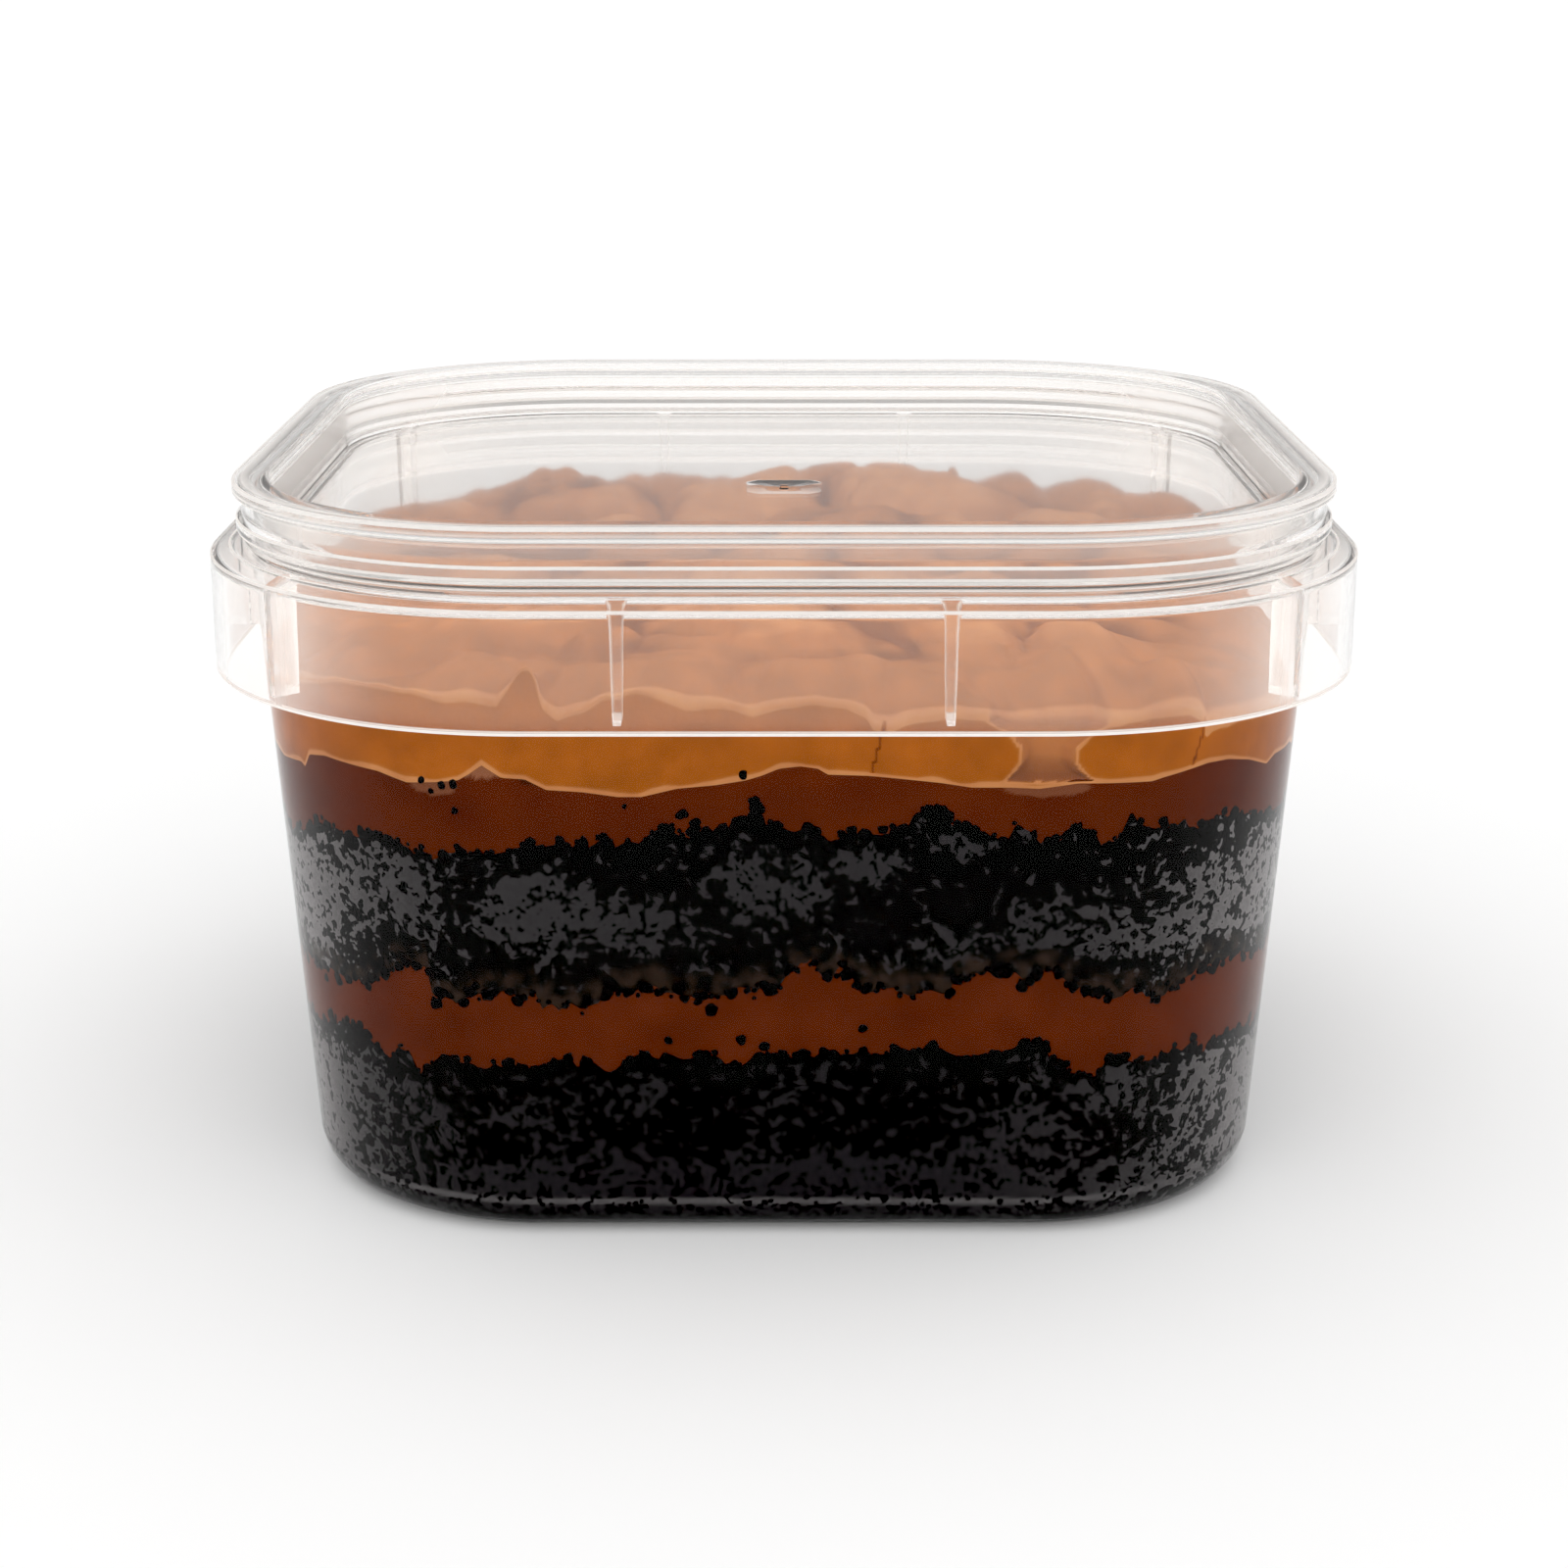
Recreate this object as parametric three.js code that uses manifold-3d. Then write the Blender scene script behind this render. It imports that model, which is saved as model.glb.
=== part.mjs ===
// A layered chocolate cake in a clear square tub with its lid on, in millimetres, +Z up.
// The tub is thin clear plastic, with a skirt hung from its flange and webs behind the skirt.
// Its lid caps the tub's neck with a hollow rim round a sunken panel. Five layers fill the tub,
// each reaching almost to the wall: dark cake, cream, dark cake, dark cream, whipped cream.
import * as THREE from "three";
import { mergeVertices } from "three/addons/utils/BufferGeometryUtils.js";
import Module from "manifold-3d";

const wasm = await Module();
wasm.setup();

// ---- Plan shared by every piece: a square with round corners, all about one corner centre
const CORNER_CENTRE = 20.4; // from the middle of the tub to a corner's centre, along X and Y
const CORNER_SHARE = 0.25; // share of a side's run that each half corner takes
const SIDES = 4;

// ---- Tub
const WALL = 0.7;
const FLOOR = 0.8;
const BASE_HALF = 41.79; // half width of the body's outside, carried down to the base
const DRAFT = 0.0676; // what the half width grows for each mm of height
const BASE_FILLET = 4;
const DRAFT_TOP = 50; // the wall is upright above this
const NECK_OUTER = 45.25;
const NECK_INNER = 44.65;
const NECK_TOP = 60;
const FLANGE_TOP = 56.2;
const FLANGE_THICK = 0.8;
const FLANGE_HALF = 47.32; // the flat of the flange ends here, and its slope begins
const SKIRT_HALF = 49;
const SKIRT_THICK = 0.8;
const SKIRT_TOP = 55.3;
const SKIRT_BOTTOM = 45.6;
const SKIRT_EDGE = 0.2; // small round on the skirt's lower edge
const WEB_WIDTH = 1.1;
const WEB_BOTTOM = 46.3;
const WEB_PLACES = [-13, 13]; // along each side, besides one on each corner's diagonal
const WEB_INNER = 44.85;
const WEB_OUTER = 48.6;

// ---- Lid
const GAP = 0.3; // clear space between two pieces that meet
const LID_TOP = 61.7;
const LID_LIP_HALF = 46.93;
const LID_LIP_UNDER = 60.56;
const LID_WALL = 0.6;
const LID_RIM_INNER = 43.75; // the rim's inner edge at its top
const LID_WELL_DRAFT = 0.35; // what the well narrows by on its way down
const LID_BEAD_HALF = 46.7;
const LID_BEAD_Z = 58;
const LID_BEAD_RISE = 1;
const PANEL_TOP = 56.3;
const PANEL_THICK = 0.7;
const PANEL_ROUND = 0.8; // round between the panel and the well's wall
const EDGE_ROUND = 0.3;
const DIMPLE_RADIUS = 4.3;
const DIMPLE_DEPTH = 0.35;
const GATE_RADIUS = 0.6;
const GATE_RISE = 0.3;

// ---- Layers: heights of each upper edge at the front wall, left to right, and on round
const LOWER_CAKE_EDGE = [16.2, 15.3, 15.3, 15.6, 16.4, 16.4, 16.5, 18.2, 15.6, 16.6];
const LOWER_CREAM_EDGE = [22.6, 22.8, 23.0, 21.8, 20.9, 20.7, 21.6, 22.8, 23.2, 23.0];
const UPPER_CAKE_EDGE = [35.8, 34.7, 35.4, 36.2, 37.6, 35.6, 37.8, 36.4, 36.5, 37.2];
const DARK_CREAM_EDGE = [40.7, 40.0, 40.3, 40.7, 41.1, 42.0, 40.8, 40.7, 40.8, 41.1];
const WHIPPED_EDGE = [47.8, 47.8, 49.6, 48.1, 47.1, 47.0, 45.4, 44.4, 45.2, 45.8];
const WHIPPED_LEVEL = 49; // between the mounds
const WHIPPED_ROLL = 0.12; // share of the half width over which the cream leaves the wall
const WHIPPED_ROOF = PANEL_TOP - PANEL_THICK - GAP;
// Mounds of whipped cream: x, y, radius, rise above the level
const MOUNDS = [
  [-21, 24, 12, 4.4],
  [-35, 14, 10, 2.6],
  [-6, 20, 9, 3.2],
  [6, 26, 13, 4.6],
  [19, 23, 9, 4.0],
  [31, 20, 9, 2.4],
  [-29, -8, 12, 4.2],
  [-11, -3, 11, 4.6],
  [8, 2, 13, 5.6],
  [26, -2, 12, 4.4],
  [-19, -26, 12, 3.4],
  [2, -21, 12, 4.4],
  [21, -23, 10, 3.0],
  [35, -18, 8, 1.6],
];

// ---- Fineness
const CORNER_STEPS = 8; // a tub or lid corner, each half
const FILLET_STEPS = 4;
const LAYER_STEPS = 22; // a layer's edge, each side
const LAYER_RINGS = [1, 0.82, 0.5];
const WHIPPED_RINGS = [1, 0.97, 0.92, 0.84, 0.75, 0.66, 0.57, 0.48, 0.39, 0.3, 0.2, 0.1];

// Point of the rounded square at t = 0..4: one unit a side, front first, anticlockwise from above
function planPoint(half, t) {
  const side = Math.floor(t) % SIDES;
  const u = t - Math.floor(t);
  const radius = half - CORNER_CENTRE;
  let x = (CORNER_CENTRE * (u - 0.5)) / (0.5 - CORNER_SHARE);
  let y = -half;
  const beyond = Math.abs(u - 0.5) - (0.5 - CORNER_SHARE);
  if (beyond > 0) {
    const turn = ((beyond / CORNER_SHARE) * Math.PI) / 4;
    x = Math.sign(u - 0.5) * (CORNER_CENTRE + radius * Math.sin(turn));
    y = -(CORNER_CENTRE + radius * Math.cos(turn));
  }
  return new THREE.Vector2(x, y).rotateAround(new THREE.Vector2(), (side * Math.PI) / 2);
}

// Stations along the loop for hard plastic: the corners are stepped, the straights are not
function cornerStations() {
  const stations = [];
  for (let side = 0; side < SIDES; side++) {
    for (let i = 0; i <= CORNER_STEPS; i++) stations.push(side + (CORNER_SHARE * i) / CORNER_STEPS);
    for (let i = 0; i < CORNER_STEPS; i++) {
      stations.push(side + 1 - CORNER_SHARE + (CORNER_SHARE * i) / CORNER_STEPS);
    }
  }
  return stations;
}

// Stations spread evenly, for the layers
function evenStations() {
  return Array.from({ length: SIDES * LAYER_STEPS }, (_, i) => i / LAYER_STEPS);
}

// Closed skin through rings of points, from a centre point below to a centre point above
function skin(rings, lowZ, highZ) {
  const count = rings[0].length;
  const points = [new THREE.Vector3(0, 0, lowZ), ...rings.flat(), new THREE.Vector3(0, 0, highZ)];
  const last = points.length - 1;
  const faces = [];
  for (let i = 0; i < count; i++) {
    const next = (i + 1) % count;
    faces.push(0, 1 + next, 1 + i);
    faces.push(last, last - count + i, last - count + next);
    for (let k = 0; k < rings.length - 1; k++) {
      const low = 1 + k * count;
      const high = low + count;
      faces.push(low + i, low + next, high + next, low + i, high + next, high + i);
    }
  }
  const geometry = new THREE.BufferGeometry().setFromPoints(points);
  geometry.setIndex(faces);
  return geometry;
}

// Hard plastic: a profile of [half width, z] carried round the plan
function moulded(profile) {
  const stations = cornerStations();
  const rings = profile.map(([half, z]) =>
    stations.map((t) => {
      const point = planPoint(half, t);
      return new THREE.Vector3(point.x, point.y, z);
    }),
  );
  return skin(rings, profile[0][1], profile[profile.length - 1][1]);
}

// Points on a quarter round of a profile, from one angle to another
function quarter(half, z, radius, from, to, steps) {
  return Array.from({ length: steps + 1 }, (_, i) => {
    const angle = from + ((to - from) * i) / steps;
    return [half + radius * Math.cos(angle), z + radius * Math.sin(angle)];
  });
}

function wallOutside(z) {
  return BASE_HALF + DRAFT * Math.min(z, DRAFT_TOP);
}

// The inside of the tub at a height, with the fillet at the floor
function wallInside(z) {
  const filletTop = BASE_FILLET;
  const radius = BASE_FILLET - FLOOR;
  if (z >= DRAFT_TOP) {
    const share = (z - DRAFT_TOP) / (NECK_TOP - DRAFT_TOP);
    return THREE.MathUtils.lerp(wallOutside(DRAFT_TOP) - WALL, NECK_INNER, share);
  }
  if (z >= filletTop) return wallOutside(z) - WALL;
  const drop = Math.min(filletTop - z, radius);
  return wallOutside(filletTop) - WALL - radius + Math.sqrt(radius * radius - drop * drop);
}

function toSolid(geometry) {
  const bare = geometry.clone();
  bare.deleteAttribute("normal");
  bare.deleteAttribute("uv");
  const merged = mergeVertices(bare, 1e-4);
  const vertProperties = new Float32Array(merged.attributes.position.array);
  const triVerts = new Uint32Array(merged.index.array);
  return new wasm.Manifold(new wasm.Mesh({ numProp: 3, vertProperties, triVerts }));
}

function toGeometry(solid) {
  const mesh = solid.getMesh();
  const geometry = new THREE.BufferGeometry();
  geometry.setAttribute("position", new THREE.BufferAttribute(mesh.vertProperties, 3));
  geometry.setIndex(new THREE.BufferAttribute(mesh.triVerts, 1));
  return geometry;
}

// ---- Tub: floor, drafted wall, flange and skirt in one profile, then the webs are fused on
function tubGeometry() {
  const filletHalf = wallOutside(BASE_FILLET) - BASE_FILLET;
  const outside = quarter(filletHalf, BASE_FILLET, BASE_FILLET, -Math.PI / 2, 0, FILLET_STEPS);
  const innerRadius = BASE_FILLET - FLOOR;
  const innerHalf = wallInside(BASE_FILLET) - innerRadius;
  const inside = quarter(innerHalf, BASE_FILLET, innerRadius, 0, -Math.PI / 2, FILLET_STEPS);
  const skirtInside = SKIRT_HALF - SKIRT_THICK;
  const profile = [
    ...outside,
    [wallOutside(DRAFT_TOP), DRAFT_TOP],
    [NECK_OUTER, FLANGE_TOP - FLANGE_THICK],
    [FLANGE_HALF - SKIRT_THICK, FLANGE_TOP - FLANGE_THICK],
    [skirtInside, SKIRT_TOP - FLANGE_THICK],
    [skirtInside, SKIRT_BOTTOM],
    [SKIRT_HALF - SKIRT_EDGE, SKIRT_BOTTOM],
    [SKIRT_HALF, SKIRT_BOTTOM + SKIRT_EDGE],
    [SKIRT_HALF, SKIRT_TOP - SKIRT_EDGE],
    [SKIRT_HALF - SKIRT_EDGE, SKIRT_TOP],
    [FLANGE_HALF, FLANGE_TOP],
    [NECK_OUTER, FLANGE_TOP],
    [NECK_OUTER, NECK_TOP],
    [NECK_INNER, NECK_TOP],
    [wallInside(DRAFT_TOP), DRAFT_TOP],
    ...inside,
  ];
  let solid = toSolid(moulded(profile));
  for (let side = 0; side < SIDES; side++) {
    const turn = (side * Math.PI) / 2;
    for (const place of WEB_PLACES) {
      const web = webGeometry(WEB_OUTER - WEB_INNER);
      web.translate(place, -(WEB_OUTER + WEB_INNER) / 2, 0);
      web.rotateZ(turn);
      solid = solid.add(toSolid(web));
    }
    const cornerWeb = webGeometry(WEB_OUTER - WEB_INNER);
    cornerWeb.translate(0, -((WEB_OUTER + WEB_INNER) / 2 - CORNER_CENTRE), 0);
    cornerWeb.rotateZ(Math.PI / 4);
    cornerWeb.translate(CORNER_CENTRE, -CORNER_CENTRE, 0);
    cornerWeb.rotateZ(turn);
    solid = solid.add(toSolid(cornerWeb));
  }
  return toGeometry(solid);
}

// An upright web between the wall and the skirt, up to the underside of the flange
function webGeometry(reach) {
  const top = SKIRT_TOP - FLANGE_THICK / 2;
  const web = new THREE.BoxGeometry(WEB_WIDTH, reach, top - WEB_BOTTOM);
  web.translate(0, 0, (top + WEB_BOTTOM) / 2);
  return web;
}

// ---- Lid: sunken panel, hollow rim over the tub's neck, snap bead, gate dimple in the middle
function lidGeometry() {
  const legBottom = FLANGE_TOP + GAP;
  const legInside = NECK_OUTER + GAP;
  const legOutside = legInside + LID_WALL;
  const wellOutside = NECK_INNER - GAP;
  const wellInside = LID_RIM_INNER - LID_WELL_DRAFT;
  const under = PANEL_TOP - PANEL_THICK;
  const channelTop = LID_TOP - 2 * LID_WALL;
  const panelRound = quarter(
    wellInside - PANEL_ROUND, PANEL_TOP + PANEL_ROUND, PANEL_ROUND, 0, -Math.PI / 2, 3,
  );
  const profile = [
    [wellOutside - PANEL_ROUND, under],
    [wellOutside, under + PANEL_ROUND],
    [wellOutside, channelTop],
    [legInside, channelTop],
    [legInside, legBottom],
    [legOutside, legBottom],
    [legOutside, LID_BEAD_Z - LID_BEAD_RISE],
    ...[-0.5, 0, 0.5].map((share) => [
      legOutside + (LID_BEAD_HALF - legOutside) * (1 - share * share * 1.6),
      LID_BEAD_Z + share * LID_BEAD_RISE,
    ]),
    [legOutside, LID_BEAD_Z + LID_BEAD_RISE],
    [legOutside, LID_LIP_UNDER],
    [LID_LIP_HALF - EDGE_ROUND / 2, LID_LIP_UNDER],
    [LID_LIP_HALF, LID_LIP_UNDER + EDGE_ROUND / 2],
    [LID_LIP_HALF, LID_TOP - EDGE_ROUND],
    [LID_LIP_HALF - EDGE_ROUND, LID_TOP],
    [LID_RIM_INNER + EDGE_ROUND, LID_TOP],
    [LID_RIM_INNER, LID_TOP - EDGE_ROUND],
    ...panelRound,
  ];
  const dimple = new THREE.LatheGeometry(
    [
      new THREE.Vector2(0, -DIMPLE_DEPTH),
      new THREE.Vector2(DIMPLE_RADIUS * 0.6, -DIMPLE_DEPTH * 0.7),
      new THREE.Vector2(DIMPLE_RADIUS, 0),
      new THREE.Vector2(DIMPLE_RADIUS, PANEL_THICK),
      new THREE.Vector2(0, PANEL_THICK),
    ],
    32,
  );
  dimple.rotateX(Math.PI / 2);
  dimple.translate(0, 0, PANEL_TOP);
  const gate = new THREE.CylinderGeometry(GATE_RADIUS * 0.7, GATE_RADIUS, GATE_RISE * 2, 12);
  gate.rotateX(Math.PI / 2);
  gate.translate(0, 0, PANEL_TOP - DIMPLE_DEPTH);
  return toGeometry(toSolid(moulded(profile)).subtract(toSolid(dimple)).add(toSolid(gate)));
}

// ---- Layers
// Seeded draw, the same each run
function draws(seed) {
  let state = seed;
  return () => {
    state = (state * 1664525 + 1013904223) % 4294967296;
    return state / 4294967296;
  };
}

// Height of a layer's edge all round: the front as given, the other sides drawn alike
function edgeLine(front, seed) {
  const draw = draws(seed);
  const low = Math.min(...front);
  const high = Math.max(...front);
  const knots = [...front];
  while (knots.length < SIDES * front.length) knots.push(low + (high - low) * draw());
  return (t) => {
    const place = t * front.length - 0.5;
    const first = Math.floor(place);
    const share = place - first;
    const knot = (i) => knots[(first + i + knots.length) % knots.length];
    const slopeIn = (knot(1) - knot(-1)) / 2;
    const slopeOut = (knot(2) - knot(0)) / 2;
    const rise = knot(1) - knot(0);
    const bend = share * share * (3 - 2 * share);
    const easeIn = share * (1 - share) * (1 - share) * slopeIn;
    const easeOut = share * share * (share - 1) * slopeOut;
    return knot(0) + rise * bend + easeIn + easeOut;
  };
}

const lowerCakeEdge = edgeLine(LOWER_CAKE_EDGE, 11);
const lowerCreamEdge = edgeLine(LOWER_CREAM_EDGE, 23);
const upperCakeEdge = edgeLine(UPPER_CAKE_EDGE, 37);
const darkCreamEdge = edgeLine(DARK_CREAM_EDGE, 41);
const whippedEdge = edgeLine(WHIPPED_EDGE, 59);

// A layer's ring: it keeps its gap to the wall at full size, and evens out towards the middle
function layerRing(edge, middle, scale, lift) {
  return evenStations().map((t) => {
    const z = middle + (edge(t) - middle) * scale + lift;
    const point = planPoint(wallInside(z) - GAP, t).multiplyScalar(scale);
    return new THREE.Vector3(point.x, point.y, z);
  });
}

function middleHeight(edge) {
  const stations = evenStations();
  return stations.reduce((sum, t) => sum + edge(t), 0) / stations.length;
}

// A layer between two wavy faces, its lower face a gap above the layer below
function layerGeometry(lower, upper) {
  const lowMiddle = middleHeight(lower);
  const highMiddle = middleHeight(upper);
  const rings = [
    ...[...LAYER_RINGS].reverse().map((scale) => layerRing(lower, lowMiddle, scale, GAP)),
    ...LAYER_RINGS.map((scale) => layerRing(upper, highMiddle, scale, 0)),
  ];
  return skin(rings, lowMiddle + GAP, highMiddle);
}

// The lowest layer stands on the floor and rounds into it as the tub does
function lowerCakeGeometry() {
  const bottom = FLOOR + GAP;
  const middle = middleHeight(lowerCakeEdge);
  const flat = (z) =>
    evenStations().map((t) => {
      const point = planPoint(wallInside(z) - GAP, t);
      return new THREE.Vector3(point.x, point.y, z);
    });
  const rings = [
    ...[bottom, bottom + 0.6, bottom + 1.6, BASE_FILLET].map(flat),
    ...LAYER_RINGS.map((scale) => layerRing(lowerCakeEdge, middle, scale, 0)),
  ];
  return skin(rings, bottom, middle);
}

function moundHeight(x, y) {
  let rise = 0;
  for (const [moundX, moundY, radius, height] of MOUNDS) {
    const away = Math.hypot(x - moundX, y - moundY) / radius;
    if (away < 1) rise = Math.max(rise, height * Math.sqrt(1 - away * away));
  }
  return Math.min(WHIPPED_LEVEL + rise, WHIPPED_ROOF);
}

// Whipped cream: pressed to the wall up to its edge, and heaped in mounds under the lid
function whippedGeometry() {
  const lowMiddle = middleHeight(darkCreamEdge);
  const lower = [...LAYER_RINGS].reverse().map((scale) =>
    layerRing(darkCreamEdge, lowMiddle, scale, GAP),
  );
  const upper = WHIPPED_RINGS.map((scale) =>
    evenStations().map((t) => {
      const edge = whippedEdge(t);
      const point = planPoint(wallInside(edge) - GAP, t).multiplyScalar(scale);
      const leave = THREE.MathUtils.smoothstep(1 - scale, 0, WHIPPED_ROLL);
      const z = THREE.MathUtils.lerp(edge, moundHeight(point.x, point.y), leave);
      return new THREE.Vector3(point.x, point.y, z);
    }),
  );
  return skin([...lower, ...upper], lowMiddle + GAP, moundHeight(0, 0));
}

// ---- Materials
const clearPlastic = new THREE.MeshStandardMaterial({
  color: 0xe9ebea, roughness: 0.08, metalness: 0, transparent: true, opacity: 0.3,
});
const darkCake = new THREE.MeshStandardMaterial({ color: 0x1a100c, roughness: 0.85, metalness: 0 });
const brownCream = new THREE.MeshStandardMaterial({ color: 0x4a2517, roughness: 0.5, metalness: 0 });
const darkCream = new THREE.MeshStandardMaterial({ color: 0x3c1c10, roughness: 0.4, metalness: 0 });
const whippedCream = new THREE.MeshStandardMaterial({ color: 0xb98f7c, roughness: 0.6, metalness: 0 });

const group = new THREE.Group();

function place(name, geometry, material) {
  const mesh = new THREE.Mesh(geometry, material);
  mesh.name = name;
  group.add(mesh);
}

place("tub", tubGeometry(), clearPlastic);
place("lid", lidGeometry(), clearPlastic);
place("cake_lower", lowerCakeGeometry(), darkCake);
place("cream_lower", layerGeometry(lowerCakeEdge, lowerCreamEdge), brownCream);
place("cake_upper", layerGeometry(lowerCreamEdge, upperCakeEdge), darkCake);
place("cream_dark", layerGeometry(upperCakeEdge, darkCreamEdge), darkCream);
place("cream_whipped", whippedGeometry(), whippedCream);

export default group;
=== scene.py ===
import itertools
import math

import bmesh
import bpy
import numpy as np
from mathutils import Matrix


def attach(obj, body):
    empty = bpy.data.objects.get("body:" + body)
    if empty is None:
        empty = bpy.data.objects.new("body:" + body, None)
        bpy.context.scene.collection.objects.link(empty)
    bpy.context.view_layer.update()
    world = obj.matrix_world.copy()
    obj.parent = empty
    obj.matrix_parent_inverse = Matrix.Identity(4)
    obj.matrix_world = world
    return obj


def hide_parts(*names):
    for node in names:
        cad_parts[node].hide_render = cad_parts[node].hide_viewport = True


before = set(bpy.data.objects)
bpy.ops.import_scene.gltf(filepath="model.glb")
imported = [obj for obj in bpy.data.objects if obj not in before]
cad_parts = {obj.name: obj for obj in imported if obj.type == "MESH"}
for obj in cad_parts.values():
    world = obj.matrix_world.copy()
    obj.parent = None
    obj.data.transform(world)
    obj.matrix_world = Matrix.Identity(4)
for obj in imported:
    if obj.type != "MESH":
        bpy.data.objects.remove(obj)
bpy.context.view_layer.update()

# ======== Tub ========
# One moulding of clear plastic about 0.7 mm thick, its walls drafted so that it leaves the mould.
# A flange runs round it below the neck, a skirt hangs from the flange, and short webs behind the
# skirt stiffen it. Every edge has the small round that a mould gives.
MM = 0.001  # in metres
CORNER_CENTRE = 20.4  # from the middle to each corner's centre, along X and Y
CORNER_SHARE = 0.25  # share of a side's run that each half corner takes
SIDES = 4
WALL = 0.7
FLOOR = 0.8
FOOT_RING = 34.0  # half width where the foot and the floor become one plain face
BASE_HALF = 41.79
DRAFT = 0.0676
BASE_FILLET = 4.0
DRAFT_TOP = 50.0
NECK_OUTER = 45.25
NECK_INNER = 44.65
NECK_TOP = 60.0
FLANGE_HALF = 47.32
FLANGE_TOP = 56.2
FLANGE_UNDER_HALF = 46.9
FLANGE_UNDER = 55.4
SKIRT_HALF = 49.0
SKIRT_TOP = 55.55
SKIRT_INNER = 48.2
SKIRT_ROOT = 54.95
SKIRT_BOTTOM = 45.6
WEB_PLACES = (-13.0, 13.0)
WEB_INNER = 46.0
WEB_OUTER = 48.5
WEB_STEPS = (
    # z, half width, painted highlight along its edges, painted highlight of its middle
    (46.35, 0.32, 1.0, 1.0),
    (46.9, 0.36, 0.9, 0.9),
    (47.1, 0.37, 0.35, 0.12),
    (50.0, 0.45, 0.45, 0.1),
    (53.6, 0.5, 0.45, 0.06),
    (54.8, 0.56, 0.5, 0.05),
    (55.6, 0.9, 0.5, 0.05),
)
WEB_EDGE = 0.2  # width of the painted highlight along each edge of a web
ON_FACE = 0.02  # how near a point on a web's face lies to it
CORNER_WEB_TURN = 3.0  # degrees from a corner's middle towards the left or right side
# warm, as painted light standing in for light that the cream bounces into the plastic
MILK_AND_BOUNCE_TINT = (0.99, 0.965, 0.94)
CORNER_PAINTED_REFLECTION = 0.27  # share of light that the skirt scatters where it turns a corner, a painted reflection
CORNER_REFLECTION_OUTSIDE = 46.0  # half width beyond which the corners' painted reflection lies
VEIL = 0.01  # least share that the rim and the flange scatter
VEIL_OUTSIDE = 43.5  # half width
VEIL_FROM = 55.35
ROUND_STEPS = 4
CORNER_STEPS = 20
NEARLY_STRAIGHT = 3.1  # radians
FADE = 0.1  # how far beyond a rounded edge its glow fades


def plan(half, t):
    """Points of the rounded square at t = 0..4: one unit a side, front first, anticlockwise."""
    side = np.floor(t) % SIDES
    u = t - np.floor(t) - 0.5
    beyond = np.abs(u) - (0.5 - CORNER_SHARE)
    turn = np.clip(beyond / CORNER_SHARE, 0, 1) * math.pi / 4
    straight = np.clip(u / (0.5 - CORNER_SHARE), -1, 1) * CORNER_CENTRE
    x = straight + np.sign(u) * (half - CORNER_CENTRE) * np.sin(turn)
    y = -CORNER_CENTRE - (half - CORNER_CENTRE) * np.cos(turn)
    cosine = np.cos(side * math.pi / 2)
    sine = np.sin(side * math.pi / 2)
    return x * cosine - y * sine, x * sine + y * cosine


def ring(half, z, t, scale=1.0):
    """Points round the plan, as an array of x, y, z, drawn in towards the middle by scale."""
    x, y = plan(half, t)
    return np.stack([x * scale, y * scale, z + 0 * t], axis=-1)


def shell(name, rings, low_z, high_z):
    """Closed mesh over rings of points in millimetres, with a middle point below and above."""
    rings = np.asarray(rings)
    count, stations = rings.shape[:2]
    ends = [[[0, 0, low_z]], rings.reshape(-1, 3), [[0, 0, high_z]]]
    points = np.concatenate(ends) * MM
    here = 1 + np.arange(count * stations).reshape(count, stations)
    after = np.roll(here, -1, axis=1)
    walls = np.stack([here[:-1], after[:-1], after[1:], here[1:]], axis=-1).reshape(-1, 4)
    below = np.stack([np.zeros(stations, int), after[0], here[0]], axis=-1)
    above = np.stack([np.full(stations, len(points) - 1), here[-1], after[-1]], axis=-1)
    mesh = bpy.data.meshes.new(name)
    mesh.from_pydata(points.tolist(), [], walls.tolist() + below.tolist() + above.tolist())
    mesh.shade_smooth()
    piece = bpy.data.objects.new(name, mesh)
    bpy.context.scene.collection.objects.link(piece)
    return piece


def paint(piece, name, values):
    """A value for each point of a piece, which its material reads by name."""
    layer = piece.data.attributes.new(name, "FLOAT", "POINT")
    layer.data.foreach_set("value", np.concatenate([[values[0, 0]], values.ravel(), [values[-1, 0]]]))


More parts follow.
